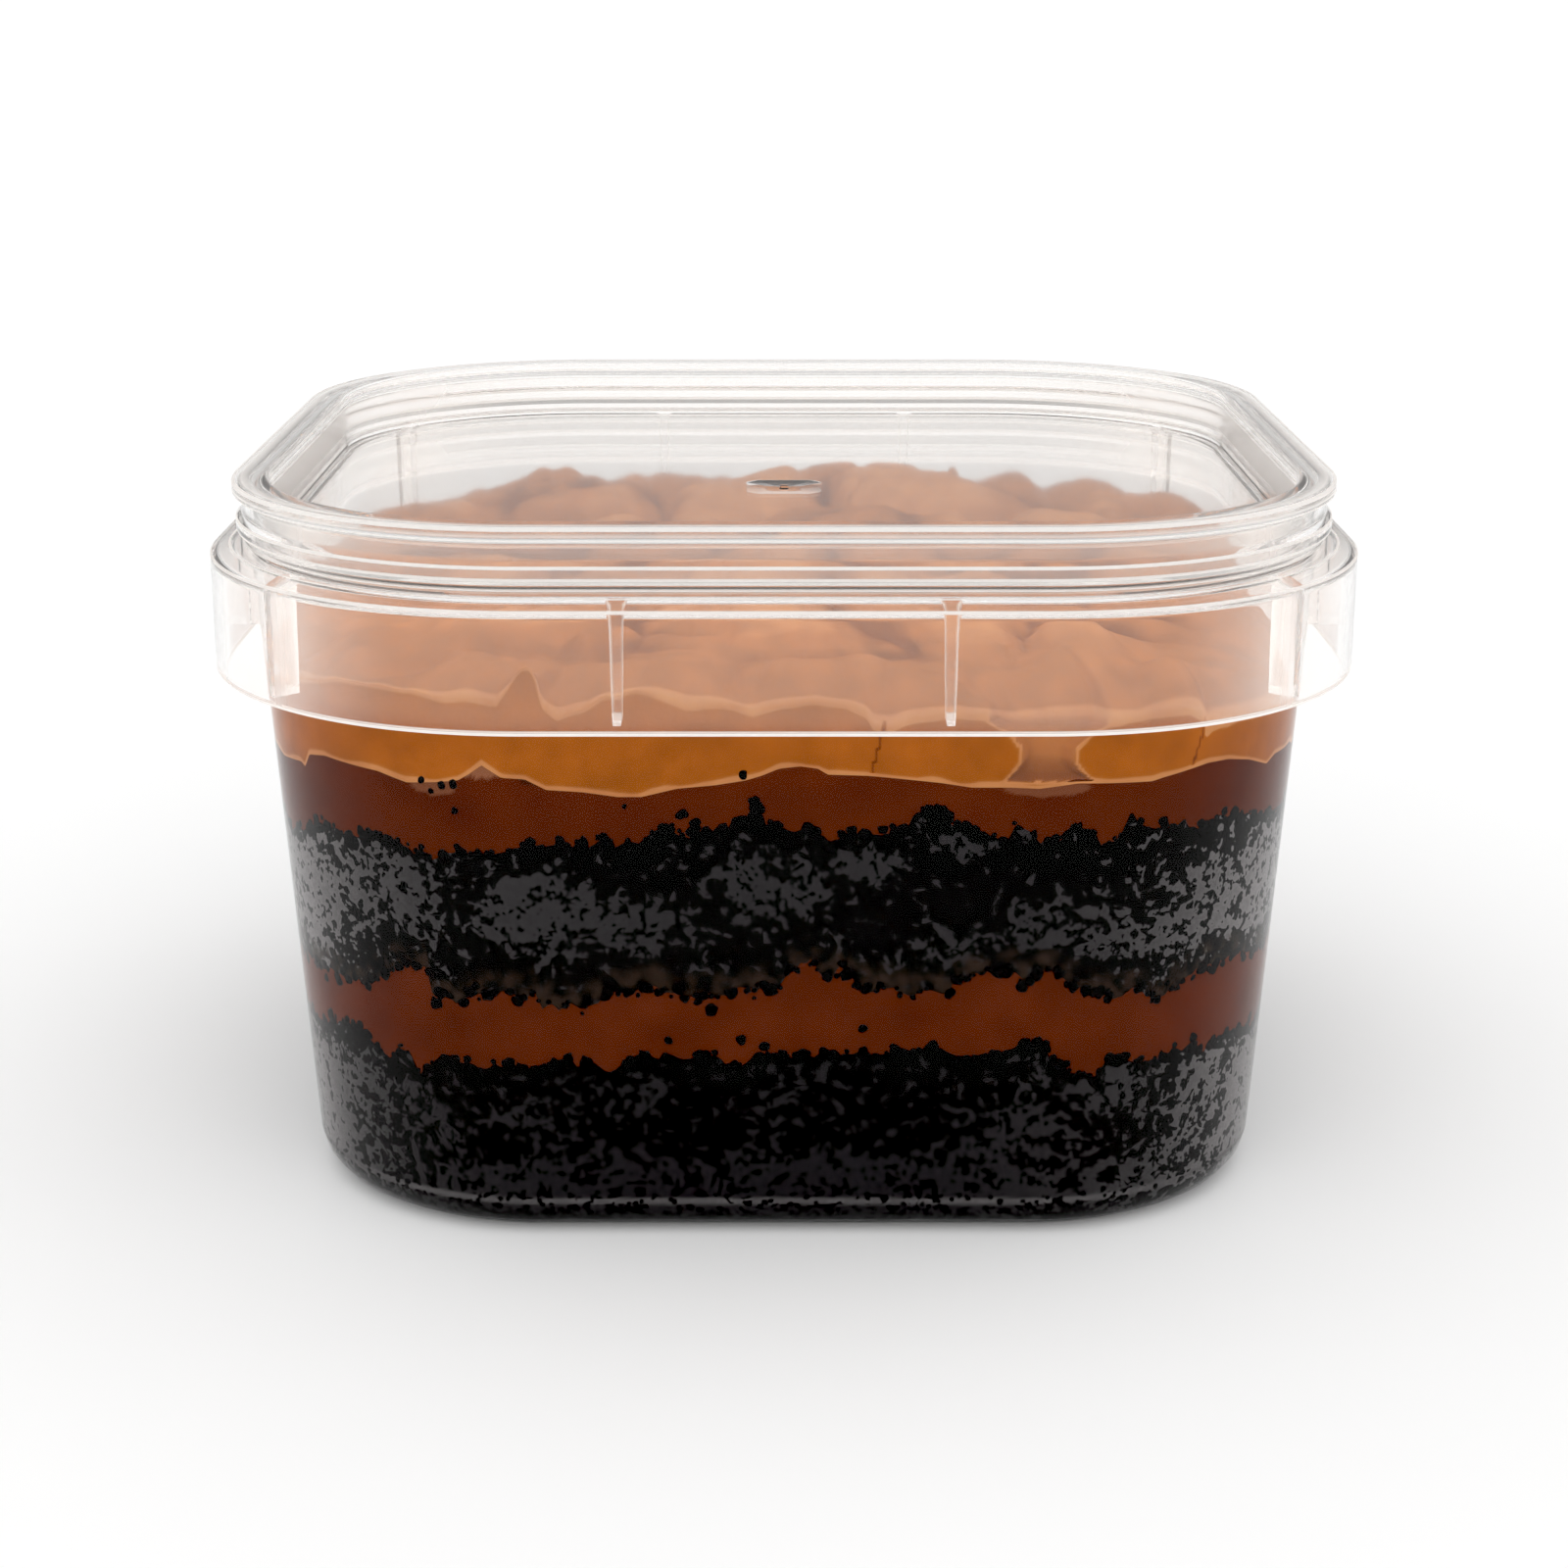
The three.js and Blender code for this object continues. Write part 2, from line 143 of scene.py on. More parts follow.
def rounded(corners):
    """Profile through corners of (half width, z, radius[, glow]), each rounded by its radius.

    With it comes the glow of each point: a painted highlight that stands in for the light which the
    plastic carries along inside itself and lets out, most at a moulding's outer edges. A corner
    without a radius bends the profile sharply, or only sets the glow of a place on a straight face.
    """
    places = [np.array(corner[:2]) for corner in corners]
    glows = [corner[3] if len(corner) > 3 else 0 for corner in corners]
    profile = [places[0]]
    glow = [glows[0]]
    for i in range(1, len(corners) - 1):
        back = places[i - 1] - places[i]
        ahead = places[i + 1] - places[i]
        shorter = min(np.linalg.norm(back), np.linalg.norm(ahead))
        back = back / np.linalg.norm(back)
        ahead = ahead / np.linalg.norm(ahead)
        opening = math.acos(np.clip(back @ ahead, -1, 1))
        if opening > NEARLY_STRAIGHT or not corners[i][2]:
            profile.append(places[i])
            glow.append(glows[i])
            continue
        cut = min(corners[i][2] / math.tan(opening / 2), 0.4 * shorter)
        radius = cut * math.tan(opening / 2)
        middle = (back + ahead) / np.linalg.norm(back + ahead)
        centre = places[i] + middle * math.hypot(cut, radius)
        first = places[i] + back * cut - centre
        last = places[i] + ahead * cut - centre
        sweep = math.atan2(first[0] * last[1] - first[1] * last[0], first @ last)
        beside = cut + min(FADE, 0.08 * shorter)
        profile.append(places[i] + back * beside)
        glow.append(0)
        for k in range(ROUND_STEPS + 1):
            angle = sweep * k / ROUND_STEPS
            turned = [
                first[0] * math.cos(angle) - first[1] * math.sin(angle),
                first[0] * math.sin(angle) + first[1] * math.cos(angle),
            ]
            profile.append(centre + turned)
            glow.append(glows[i])
        profile.append(places[i] + ahead * beside)
        glow.append(0)
    profile.append(places[-1])
    return profile, glow + [glows[-1]]


def moulded(name, corners, under=(), over=()):
    """Hard plastic: a rounded profile carried round the plan, whitened by a painted reflection at
    corners.

    under and over are round rings of (radius, z) inside the profile's first and last rings.
    """
    half_corner = np.arange(CORNER_STEPS + 1) / CORNER_STEPS * CORNER_SHARE
    one_side = np.concatenate([half_corner, 1 - half_corner[:0:-1]])
    t = (np.arange(SIDES)[:, None] + one_side[None, :]).ravel()
    profile, glow = rounded(corners)
    rings = [ring(half, z, t) for half, z in profile]
    angle = np.arctan2(rings[0][:, 1], rings[0][:, 0])
    before, after = (
        [np.stack([r * np.cos(angle), r * np.sin(angle), z + 0 * angle], axis=-1) for r, z in part]
        for part in (under, over)
    )
    turned = np.clip((np.abs(t % 1 - 0.5) - 0.5 + CORNER_SHARE) / CORNER_SHARE, 0, 1)
    shares = []
    for (half, z), edge in zip(profile, glow):
        # painted reflection that whitens the skirt where it turns a corner
        milk_and_sheen = CORNER_PAINTED_REFLECTION * turned ** 3 * (half > CORNER_REFLECTION_OUTSIDE)
        veil = VEIL * (half > VEIL_OUTSIDE) * (z > VEIL_FROM)
        shares.append(np.maximum(edge, np.maximum(milk_and_sheen, veil)))
    clear = np.zeros(len(t))
    rings = before + rings + after
    piece = shell(name, rings, rings[0][0, 2], rings[-1][0, 2])
    paint(piece, "glow", np.array([clear] * len(before) + shares + [clear] * len(after)))
    return piece


def join(piece, other):
    """One solid out of two, with the second used up."""
    change = piece.modifiers.new("join", "BOOLEAN")
    change.operation = "UNION"
    change.solver = "EXACT"
    change.object = other
    bpy.context.view_layer.update()
    shaped = piece.evaluated_get(bpy.context.evaluated_depsgraph_get())
    mesh = bpy.data.meshes.new_from_object(shaped)
    piece.modifiers.clear()
    piece.data = mesh
    bpy.data.objects.remove(other)


def belongs(piece, slot, *nodes):
    """The piece stands in the one body for the nodes it replaces, which are hidden; slot is not used."""
    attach(piece, "root")
    if nodes:
        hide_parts(*nodes)


def new_material(name, settings):
    """A new material, its main shader set by socket name, and that shader."""
    material = bpy.data.materials.new(name)
    material.use_nodes = True
    shader = material.node_tree.nodes["Principled BSDF"]
    for socket, value in settings.items():
        feed(material, shader.inputs[socket], value)
    return material, shader


def feed(material, socket, value):
    """Set a socket to a number or a colour, or link it to what another node gives."""
    if isinstance(value, bpy.types.NodeSocket):
        material.node_tree.links.new(value, socket)
    elif isinstance(value, tuple):
        socket.default_value = (*value, 1)
    else:
        socket.default_value = value


def step(material, kind, *values, output=0, **settings):
    """What a new node gives, out of values for its inputs in their order."""
    node = material.node_tree.nodes.new(kind)
    for setting, value in settings.items():
        setattr(node, setting, value)
    for socket, value in zip(node.inputs, values):
        feed(material, socket, value)
    return node.outputs[output]


def pattern(material, size, detail=2, kind="ShaderNodeTexNoise", output="Fac"):
    """A texture right through the piece, with features of about size millimetres."""
    node = material.node_tree.nodes.new(kind)
    node.inputs["Scale"].default_value = 1 / (size * MM)
    node.inputs["Detail"].default_value = detail
    place = step(material, "ShaderNodeTexCoord", output="Object")
    feed(material, node.inputs["Vector"], place)
    return node.outputs[output]


def painted(material, name):
    """A value painted on the points of the piece."""
    return step(material, "ShaderNodeAttribute", output="Fac", attribute_name=name)


def between(material, value, low, high, bottom=0.0, top=1.0):
    """bottom to top as the value goes from low to high."""
    return step(material, "ShaderNodeMapRange", value, low, high, bottom, top)


def mixed(material, share, first, second):
    """A colour mixed between two."""
    return step(material, "ShaderNodeMixRGB", share, first, second)


def emboss(material, shader, height, strength, depth):
    """Fine relief on the surface, where depth is in millimetres."""
    node = material.node_tree.nodes.new("ShaderNodeBump")
    node.inputs["Strength"].default_value = strength
    node.inputs["Distance"].default_value = depth * MM
    feed(material, node.inputs["Height"], height)
    feed(material, shader.inputs["Normal"], node.outputs["Normal"])


def clear_plastic(name, tint, haze, wave_size, roughness, index):
    """Clear moulded plastic: faint waves from its flow in the mould, a haze, and painted bright edges.

    haze is the share of light that the plastic scatters, from the skirt's foot up, and index how
    strongly it bends and mirrors light.
    """
    material, plastic = new_material(name, {
        "Base Color": tint,
        "Transmission Weight": 1,
        "IOR": index,
        "Roughness": roughness,
    })
    emboss(material, plastic, pattern(material, wave_size, 1), 0.15, 0.05)
    place = step(material, "ShaderNodeTexCoord", output="Object")
    height = step(material, "ShaderNodeSeparateXYZ", place, output="Z")
    hazy = between(material, height, (SKIRT_BOTTOM - 0.5) * MM, SKIRT_BOTTOM * MM, top=haze)
    # Where a glow is painted, the plastic turns milky white: painted highlights and painted reflections.
    share = step(material, "ShaderNodeMath", hazy, painted(material, "glow"), operation="MAXIMUM")
    scatter = step(material, "ShaderNodeBsdfDiffuse", MILK_AND_BOUNCE_TINT)
    pass_on = step(material, "ShaderNodeBsdfTranslucent", MILK_AND_BOUNCE_TINT)
    milk_and_sheen = step(material, "ShaderNodeMixShader", 0.5, scatter, pass_on)
    body = step(material, "ShaderNodeMixShader", share, plastic.outputs[0], milk_and_sheen)
    through = step(material, "ShaderNodeBsdfTransparent", tint)
    shadow_ray = step(material, "ShaderNodeLightPath", output="Is Shadow Ray")
    whole = step(material, "ShaderNodeMixShader", shadow_ray, body, through)
    feed(material, material.node_tree.nodes["Material Output"].inputs["Surface"], whole)
    return material


def web_place(side, across=None):
    """Where a web is drawn from: a point, the depth there, and the ways across and outward.

    The webs of a straight side are drawn from its middle line, a corner's from its centre.
    """
    turn = side * math.pi / 2
    corner = across is None
    origin = np.array([CORNER_CENTRE, -CORNER_CENTRE]) if corner else np.array([across, 0.0])
    cosine, sine = math.cos(turn), math.sin(turn)
    origin = np.array([origin @ (cosine, -sine), origin @ (sine, cosine)])
    if corner:
        turn += math.radians(45 + CORNER_WEB_TURN * (-1) ** side)
    ways = np.array([[math.cos(turn), math.sin(turn)], [math.sin(turn), -math.cos(turn)]])
    return origin, CORNER_CENTRE if corner else 0.0, ways


def web(origin, start, ways):
    """An upright web, wider towards its root under the flange."""
    rings = []
    for z, half, edge, middle in WEB_STEPS:
        inner = [(half, WEB_INNER), (half - WEB_EDGE, WEB_INNER), (WEB_EDGE - half, WEB_INNER)]
        outline = [(-half, WEB_OUTER), (half, WEB_OUTER)] + inner + [(-half, WEB_INNER)]
        rings += [[*(origin + np.array([x, depth - start]) @ ways), z] for x, depth in outline]
    count = 6
    faces = [tuple(reversed(range(count))), tuple(range(len(rings) - count, len(rings)))]
    for i, k in itertools.product(range(len(WEB_STEPS) - 1), range(count)):
        here, after = i * count + k, i * count + (k + 1) % count
        faces.append((here, after, after + count, here + count))
    mesh = bpy.data.meshes.new("web")
    mesh.from_pydata((np.array(rings) * MM).tolist(), [], faces)
    piece = bpy.data.objects.new("web", mesh)
    bpy.context.scene.collection.objects.link(piece)
    return piece


def points_of(piece):
    """The piece's points in millimetres."""
    spots = np.empty(len(piece.data.vertices) * 3)
    piece.data.vertices.foreach_get("co", spots)
    return spots.reshape(-1, 3) / MM


def glow_of(piece):
    """The glow painted on the piece's points."""
    glow = np.empty(len(piece.data.vertices))
    piece.data.attributes["glow"].data.foreach_get("value", glow)
    return glow


# The fourth number of a corner is its glow, a painted highlight along that edge.
tub = moulded("tub_clear", [
    (FOOT_RING, 0, 0),
    (BASE_HALF, 0, BASE_FILLET),
    (BASE_HALF + DRAFT * DRAFT_TOP, DRAFT_TOP, 0),
    (NECK_OUTER, FLANGE_UNDER, 0.4),
    (FLANGE_UNDER_HALF, FLANGE_UNDER, 0.4),
    (SKIRT_INNER, SKIRT_ROOT, 0.3),
    (SKIRT_INNER, SKIRT_BOTTOM, 0.3, 0.9),
    (SKIRT_HALF, SKIRT_BOTTOM, 0.3, 1.0),
    (SKIRT_HALF, SKIRT_TOP, 0.2, 0.95),
    (FLANGE_HALF, FLANGE_TOP, 0.4, 1.0),
    (NECK_OUTER, FLANGE_TOP, 0.25, 0.35),
    (NECK_OUTER, NECK_TOP, 0.2, 0.3),
    (NECK_INNER, NECK_TOP, 0.2, 0.3),
    (BASE_HALF + DRAFT * DRAFT_TOP - WALL, DRAFT_TOP, 0),
    (BASE_HALF + DRAFT * FLOOR - WALL, FLOOR, BASE_FILLET - FLOOR),
    (FOOT_RING, FLOOR, 0),
])
web_places = [web_place(side, across) for side in range(SIDES) for across in (*WEB_PLACES, None)]
for place in web_places:
    join(tub, web(*place))
spots = points_of(tub)
glow = glow_of(tub)
web_z, web_half, edge_glow, middle_glow = np.array(WEB_STEPS).T
# Painted highlights on each web's inner face: bright lines along its edges, a fainter glow between them
# and a bright spot at its foot.
for origin, start, ways in web_places:
    across, depth = ((spots[:, :2] - origin) @ ways.T + (0, start)).T
    beside = np.abs(across) - np.interp(spots[:, 2], web_z, web_half)
    on_web = (np.abs(depth - WEB_INNER) < ON_FACE) & (beside < ON_FACE)
    lit = np.where(
        beside > -0.5 * WEB_EDGE,
        np.interp(spots[:, 2], web_z, edge_glow),
        np.interp(spots[:, 2], web_z, middle_glow),
    )
    glow = np.where(on_web, lit, glow)
tub.data.attributes["glow"].data.foreach_set("value", glow)
tub.data.set_sharp_from_angle(angle=math.radians(40))
# The tub's faint warm tint is painted light, standing in for light bounced off the cream.
tub_plastic = clear_plastic("tub clear plastic", (0.993, 0.988, 0.982), 0.025, 9, 0.02, 1.33)
tub.data.materials.clear()
tub.data.materials.append(tub_plastic)
belongs(tub, "tub_plastic", "tub")

# ======== Lid ========
# A thinner moulding of the same clear plastic, pressed down over the tub's neck.
# Its hollow rim carries a snap bead outside and drops to a sunken panel inside. The plastic was
# fed in at the middle of the panel, which left a shallow dimple with a stub in it.
LID_TOP = 61.7
LID_LIP_HALF = 46.93
LID_LIP_UNDER = 60.56
LEG_INNER = 45.55
LEG_OUTER = 46.15
LEG_BOTTOM = 56.5
BEAD_HALF = 46.7
BEAD_Z = (57.0, 57.5, 58.5, 59.0)  # where the bead begins, is full, starts to narrow, and ends
PANEL_TOP = 56.3
PANEL_UNDER = 55.6
PANEL_RING = 30.0  # half width where the panel becomes flat
WELL_OUTER = 44.35
WELL_INNER = 43.4
RIM_INNER = 43.75
LIP_DIM_Z = 61.0  # where the painted highlight on the lip's face is dimmest
RIM_BRIGHT_TO = 46.1  # half widths between which the painted highlight on the rim's top fades
RIM_CLEAR_FROM = 45.1
CHANNEL_TOP = 60.5
DIMPLE_RADIUS = 4.3
DIMPLE_DEPTH = 0.15
STUB_RADIUS = 0.5
STUB_SHOULDER = 0.3
STUB_HEIGHT = 0.35
# brightness of the painted highlight on the front side of the dimple
DIMPLE_HIGHLIGHT = 0.9
WELL_SIDE_REFLECTION = (
    # half width, z, how strongly a painted reflection whitens the well's left and right walls there
    (43.66, 60.2, 0.3),
    (43.5, 57.8, 0.25),
)

panel_rings = [(r, PANEL_TOP) for r in (16.0, 10.0, 7.0, 5.5, 4.8, 4.5)]
dimple_shares = (1.0, 0.94, 0.86, 0.76, 0.64, 0.5, 0.36, 0.24)
dimple_rings = [
    (DIMPLE_RADIUS * share, PANEL_TOP - DIMPLE_DEPTH * (1 - share ** 2)) for share in dimple_shares
]
stub_floor = PANEL_TOP - DIMPLE_DEPTH
stub_rings = [
    (STUB_RADIUS, stub_floor),
    (STUB_RADIUS * 0.9, stub_floor + STUB_SHOULDER),
    (STUB_RADIUS * 0.4, stub_floor + STUB_HEIGHT),
]
# The fourth number of a corner is its glow, a painted highlight along that edge.
lid = moulded("lid_clear", [
    (PANEL_RING, PANEL_UNDER, 0),
    (WELL_OUTER, PANEL_UNDER, 0.8),
    (WELL_OUTER, CHANNEL_TOP, 0.3),
    (LEG_INNER, CHANNEL_TOP, 0.3),
    (LEG_INNER, LEG_BOTTOM, 0.12, 0.4),
    (LEG_OUTER, LEG_BOTTOM, 0.12, 0.4),
    (LEG_OUTER, BEAD_Z[0], 0.2),
    (BEAD_HALF, BEAD_Z[1], 0.3, 0.9),
    (BEAD_HALF, BEAD_Z[2], 0.3, 1.0),
    (LEG_OUTER, BEAD_Z[3], 0.3),
    (LEG_OUTER, LID_LIP_UNDER, 0.3),
    (LID_LIP_HALF, LID_LIP_UNDER, 0.3, 0.85),
    (LID_LIP_HALF, LIP_DIM_Z, 0, 0.6),
    (LID_LIP_HALF, LID_TOP, 0.3, 1.0),
    (RIM_BRIGHT_TO, LID_TOP, 0, 0.7),
    (RIM_CLEAR_FROM, LID_TOP, 0, 0.1),
    (RIM_INNER, LID_TOP, 0.35, 0.25),
    *((half, z, 0, glow) for half, z, glow in WELL_SIDE_REFLECTION),
    (WELL_INNER, PANEL_TOP, 0.8),
    (PANEL_RING, PANEL_TOP, 0),
], under=[(10.0, PANEL_UNDER)], over=panel_rings + dimple_rings + stub_rings)
lid.data.set_sharp_from_angle(angle=math.radians(40))
spots = points_of(lid)
glow = glow_of(lid)
# Only the well's left and right walls keep their painted reflection.
on_well = np.isclose(spots[:, 2, None], [z for half, z, veil in WELL_SIDE_REFLECTION], atol=0.01).any(axis=1)
sideways = np.clip(2 * np.abs(spots[:, 0]) / np.maximum(np.abs(spots[:, 1]), 1) - 1, 0, 1)
glow = np.where(on_well, glow * sideways, glow)
# A painted highlight: a bright crescent on the front side of the dimple.
from_middle = np.hypot(spots[:, 0], spots[:, 1])
near_rim = (from_middle > 0.4 * DIMPLE_RADIUS) & (from_middle < 0.97 * DIMPLE_RADIUS)
towards_front = np.clip(-spots[:, 1] / np.maximum(from_middle, 0.1), 0, 1)
glow = np.where(near_rim, DIMPLE_HIGHLIGHT * towards_front, glow)
lid.data.attributes["glow"].data.foreach_set("value", glow)
# The lid's faint warm tint is painted light, standing in for light bounced off the cream.
lid.data.materials.append(
    clear_plastic("lid clear plastic", (0.993, 0.989, 0.984), 0.01, 12, 0.04, 1.22)
)
belongs(lid, "lid_plastic", "lid")

# ======== Lower cake ========
# The bottom layer is moist chocolate sponge, crumbled and pressed into the tub.
# Where its crumbs press against the wall they look black. Where air lies between, each patch of
# trapped air shows as a grey gap: a painted reflection of the light in the wall's inside, with a gloss.
LOWER_CAKE_EDGE = (
    # run along the wall from the middle of the front, z
    (-47, 14.9), (-42.7, 15.5), (-40, 16.8), (-38, 16.7), (-35.8, 15.2), (-34.7, 14.7), (-33.4, 15.9),
    (-32.3, 16.1), (-31.2, 13.8), (-29, 15.8), (-26, 15.3), (-22.4, 15.4), (-19.5, 15.7), (-18.1, 16.2),
    (-15.3, 15.2), (-14, 15.2), (-10.9, 16.4), (-8.1, 16.6), (-5.3, 16.8), (-4.3, 15.6), (-3.1, 16.2),
    (-0.4, 17.1), (1.4, 16.3), (5.7, 16.7), (8.5, 16.8), (12.2, 17.3), (14.8, 16.2), (17.4, 16.5),
    (19, 17.4), (21.1, 18.1), (22, 16.5), (23.8, 15), (26.5, 14.4), (27.2, 15.8), (28.3, 15.9),
    (29.8, 15.1), (32.4, 15.2), (36.2, 15.7), (37.9, 14.6), (41, 15.6), (43.5, 14.8), (47, 13.9),
)
CORNER_ARC = 1.76  # a corner's length along the wall, in CORNER_CENTREs
SEEN_RUN = 47.0  # how far each way from the middle of the front the edges are known
LAYER_STATIONS = 1200
CAKE_ROWS = 60
INSIDE_HALF = 44.0  # about half the width inside the tub
PRESSED = 0.1  # how far what touches the wall reaches into it
STRIP_FOOT = (2.5, 3.0)  # z between which the strip of painted reflection along the tub's round foot begins
STRIP_TOP = (3.45, 3.15)  # z between which it ends
STRIP_BRIGHT = 0.6
FOOD_T = np.arange(LAYER_STATIONS) / LAYER_STATIONS * SIDES


def wall_inside(z):
    """Half width of the tub's inside at a height, with the round at its floor."""
    z = np.asarray(z, dtype=float)
    drafted = BASE_HALF + DRAFT * np.clip(z, BASE_FILLET, DRAFT_TOP) - WALL
    neck = (NECK_INNER - drafted) * np.clip((z - DRAFT_TOP) / (NECK_TOP - DRAFT_TOP), 0, 1)
    radius = BASE_FILLET - FLOOR
    drop = np.clip(BASE_FILLET - z, 0, radius)
    return drafted + neck * (z > DRAFT_TOP) - radius + np.sqrt(radius ** 2 - drop ** 2)


def smooth_noise(points, size, seed):
    """Noise between -1 and 1 that changes over about size millimetres."""
    cell = np.asarray(points) / size
    base = np.floor(cell).astype(np.int64)
    part = cell - base
    ease = part * part * (3 - 2 * part)
    total = 0
    for corner in itertools.product((0, 1), repeat=3):
        key = base + corner
        code = key[..., 0] * 73856093 ^ key[..., 1] * 19349663 ^ key[..., 2] * 83492791
        code = (code ^ seed * 40503) & 0xFFFFFFFF
        code = (code ^ (code >> 13)) * 1274126177 & 0xFFFFFFFF
        value = ((code ^ (code >> 16)) & 0xFFFF) / 32767.5 - 1
        weight = np.prod(np.where(corner, ease, 1 - ease), axis=-1)
        total = total + value * weight
    return total


def noise_round(size, seed, z=0.0):
    """The same noise at each place along the wall."""
    return smooth_noise(ring(INSIDE_HALF, z, FOOD_T), size, seed)


def smoothstep(low, high, value):
    """0 to 1 as the value goes from low to high, with a soft start and end."""
    share = np.clip((value - low) / (high - low), 0, 1)
    return share * share * (3 - 2 * share)


def run_of(t):
    """Place along the wall in millimetres, each way from the middle of the front."""
    from_front = (t + 1.5) % SIDES - 2
    turns = [0, CORNER_SHARE, 1 - CORNER_SHARE, 1 + CORNER_SHARE, 2 - CORNER_SHARE, 2]
    lengths = [0, 1, 1 + CORNER_ARC, 3 + CORNER_ARC, 3 + 2 * CORNER_ARC, 4 + 2 * CORNER_ARC]
    return np.sign(from_front) * np.interp(np.abs(from_front), turns, lengths) * CORNER_CENTRE


def edge_line(seen, seed):
    """Height of a layer's edge all round: as seen in front, and folded over and over behind.

    Behind, the folds are stretched and shifted by noise, so that no two sides are the same.
    """
    run, height = np.array(seen, dtype=float).T
    place = run_of(FOOD_T)
    hidden = np.clip((np.abs(place) - SEEN_RUN) / (np.abs(place).max() - SEEN_RUN), 0, 1)
    folds = 1.5 * hidden
    folded = SEEN_RUN - 2 * SEEN_RUN * np.minimum(folds, 2 - folds)
    place = np.where(hidden > 0, np.sign(place) * folded, place)
    ease = smoothstep(0, 0.1, hidden)
    place = place + ease * noise_round(14.0, seed) * 5
    return np.interp(place, run, height) + ease * noise_round(11.0, seed + 1) * 0.7


def ragged(edge, seed):
    """A layer's edge with fine crumbs standing out of it."""
    fine = noise_round(0.8, seed + 1) * 0.3 + noise_round(0.45, seed + 2) * 0.25
    return edge + noise_round(2.0, seed) * 0.2 + fine


def dry_patches(points, base, patches):
    """Where air is trapped at the wall, from 0 to 1: as seen in front, drawn by noise behind."""
    place = run_of(FOOD_T)
    dry = np.full(points.shape[:-1], base)
    for middle, z, wide, high, how_dry in patches:
        away = np.hypot((place - middle) / wide, (points[..., 2] - z) / high)
        dry = np.maximum(dry, how_dry * smoothstep(1.3, 0.4, away))
    behind = base + 0.7 * smoothstep(-0.1, 0.8, smooth_noise(points, 9.0, 71))
    return dry + (behind - dry) * smoothstep(SEEN_RUN, SEEN_RUN + 8, np.abs(place))


def crumbly(name, low, high, base, patches, shine, smear=0.0):
    """A layer of cake against the wall, painted with how dry it is and where cream smears it.

    shine is how bright the painted reflection in its gaps is along the wall, and smear how far up
    from the layer's foot a film of cream lies between crumbs and wall. The lowest layer has no such
    film, and a strip of painted reflection instead, drawn as bright gaps where the tub's round foot
    ends.
    """
    share = (np.arange(CAKE_ROWS) / (CAKE_ROWS - 1))[:, None]
    z = low[None, :] + (high - low)[None, :] * share
    half = wall_inside(z)
    sides = [ring(half[i] + PRESSED, z[i], FOOD_T) for i in range(CAKE_ROWS)]
    dry = dry_patches(np.stack(sides), base, patches) * smoothstep(0.1, 1.0, high[None, :] - z)
    # brightness of the painted reflection in the gaps, along the wall
    bright = np.interp(run_of(FOOD_T), *np.array(shine).T) + 0 * z
    if not smear:
        # A strip of painted reflection where the tub's round foot ends, drawn as bright gaps with
        # breaks.
        breaks = 1 + 0.3 * noise_round(1.1, 73)
        strip = smoothstep(*STRIP_FOOT, z) * smoothstep(*STRIP_TOP, z)
        dry = np.maximum(dry, 1.5 * breaks * strip)
        bright = bright + (STRIP_BRIGHT - bright) * strip
    smeared = smoothstep(smear, 0.4 * smear, z - low[None, :]) if smear else 0 * z
    under = [ring(half[0] + PRESSED, low, FOOD_T, scale) for scale in (0.5, 0.9)]
    over = [ring(half[-1] + PRESSED, high, FOOD_T, scale) for scale in (0.9, 0.5)]
    piece = shell(name, under + sides + over, low.mean(), high.mean())
    for attribute, values in (("dry", dry), ("bright", bright), ("smear", smeared)):
        paint(piece, attribute, np.concatenate([values[:1]] * 2 + [values] + [values[-1:]] * 2))
    return piece


def cake_material():
    """Nearly black crumb: wet where pressed to the wall, with a painted grey reflection where air lies.

    A gap opens where the crumb's own pattern falls below a level that rises with dryness.
    """
    material, crumb = new_material("dark chocolate crumb", {
        "Specular IOR Level": 0,
        "Roughness": 0.9,
        "Coat Roughness": 0.06,
        "Coat IOR": 1.5,
    })

    def plus(first, second, factor):
        """first + second * factor."""
        return step(material, "ShaderNodeMath", second, factor, first, operation="MULTIPLY_ADD")

    def times(first, second):
        """first * second."""
        return step(material, "ShaderNodeMath", first, second, operation="MULTIPLY")

    clumps = pattern(material, 1.0)
    clusters = pattern(material, 5.0, 1)
    fray = pattern(material, 0.38, 1)
    grains = pattern(material, 0.65, 0, "ShaderNodeTexVoronoi", "Distance")
    grey = pattern(material, 0.6, 3)
    film = pattern(material, 1.6, 3)
    field = plus(plus(plus(clumps, clusters, 0.2), fray, 0.45), grains, -0.3)
    level = between(material, painted(material, "dry"), 0, 2, top=0.66)
    above = plus(plus(field, level, -1), painted(material, "smear"), 0.05)
    gap = between(material, above, 0.465, 0.447)
    shine = times(between(material, above, 0.2, 0.45, bottom=0.75), painted(material, "bright"))
    smear = times(painted(material, "smear"), between(material, film, 0.42, 0.6))
    # painted reflection: the gaps turn grey, more so where shine is painted
    lit = mixed(material, shine, (0.001, 0.001, 0.002), (0.2, 0.186, 0.188))
    black = mixed(material, gap, (0.001, 0.0007, 0.0006), lit)
    brown = mixed(material, grey, (0.01, 0.006, 0.004), (0.045, 0.028, 0.018))
    feed(material, crumb.inputs["Base Color"], mixed(material, smear, black, brown))
    feed(material, crumb.inputs["Coat Weight"], times(gap, shine))
    emboss(material, crumb, field, 0.4, 0.2)
    return material


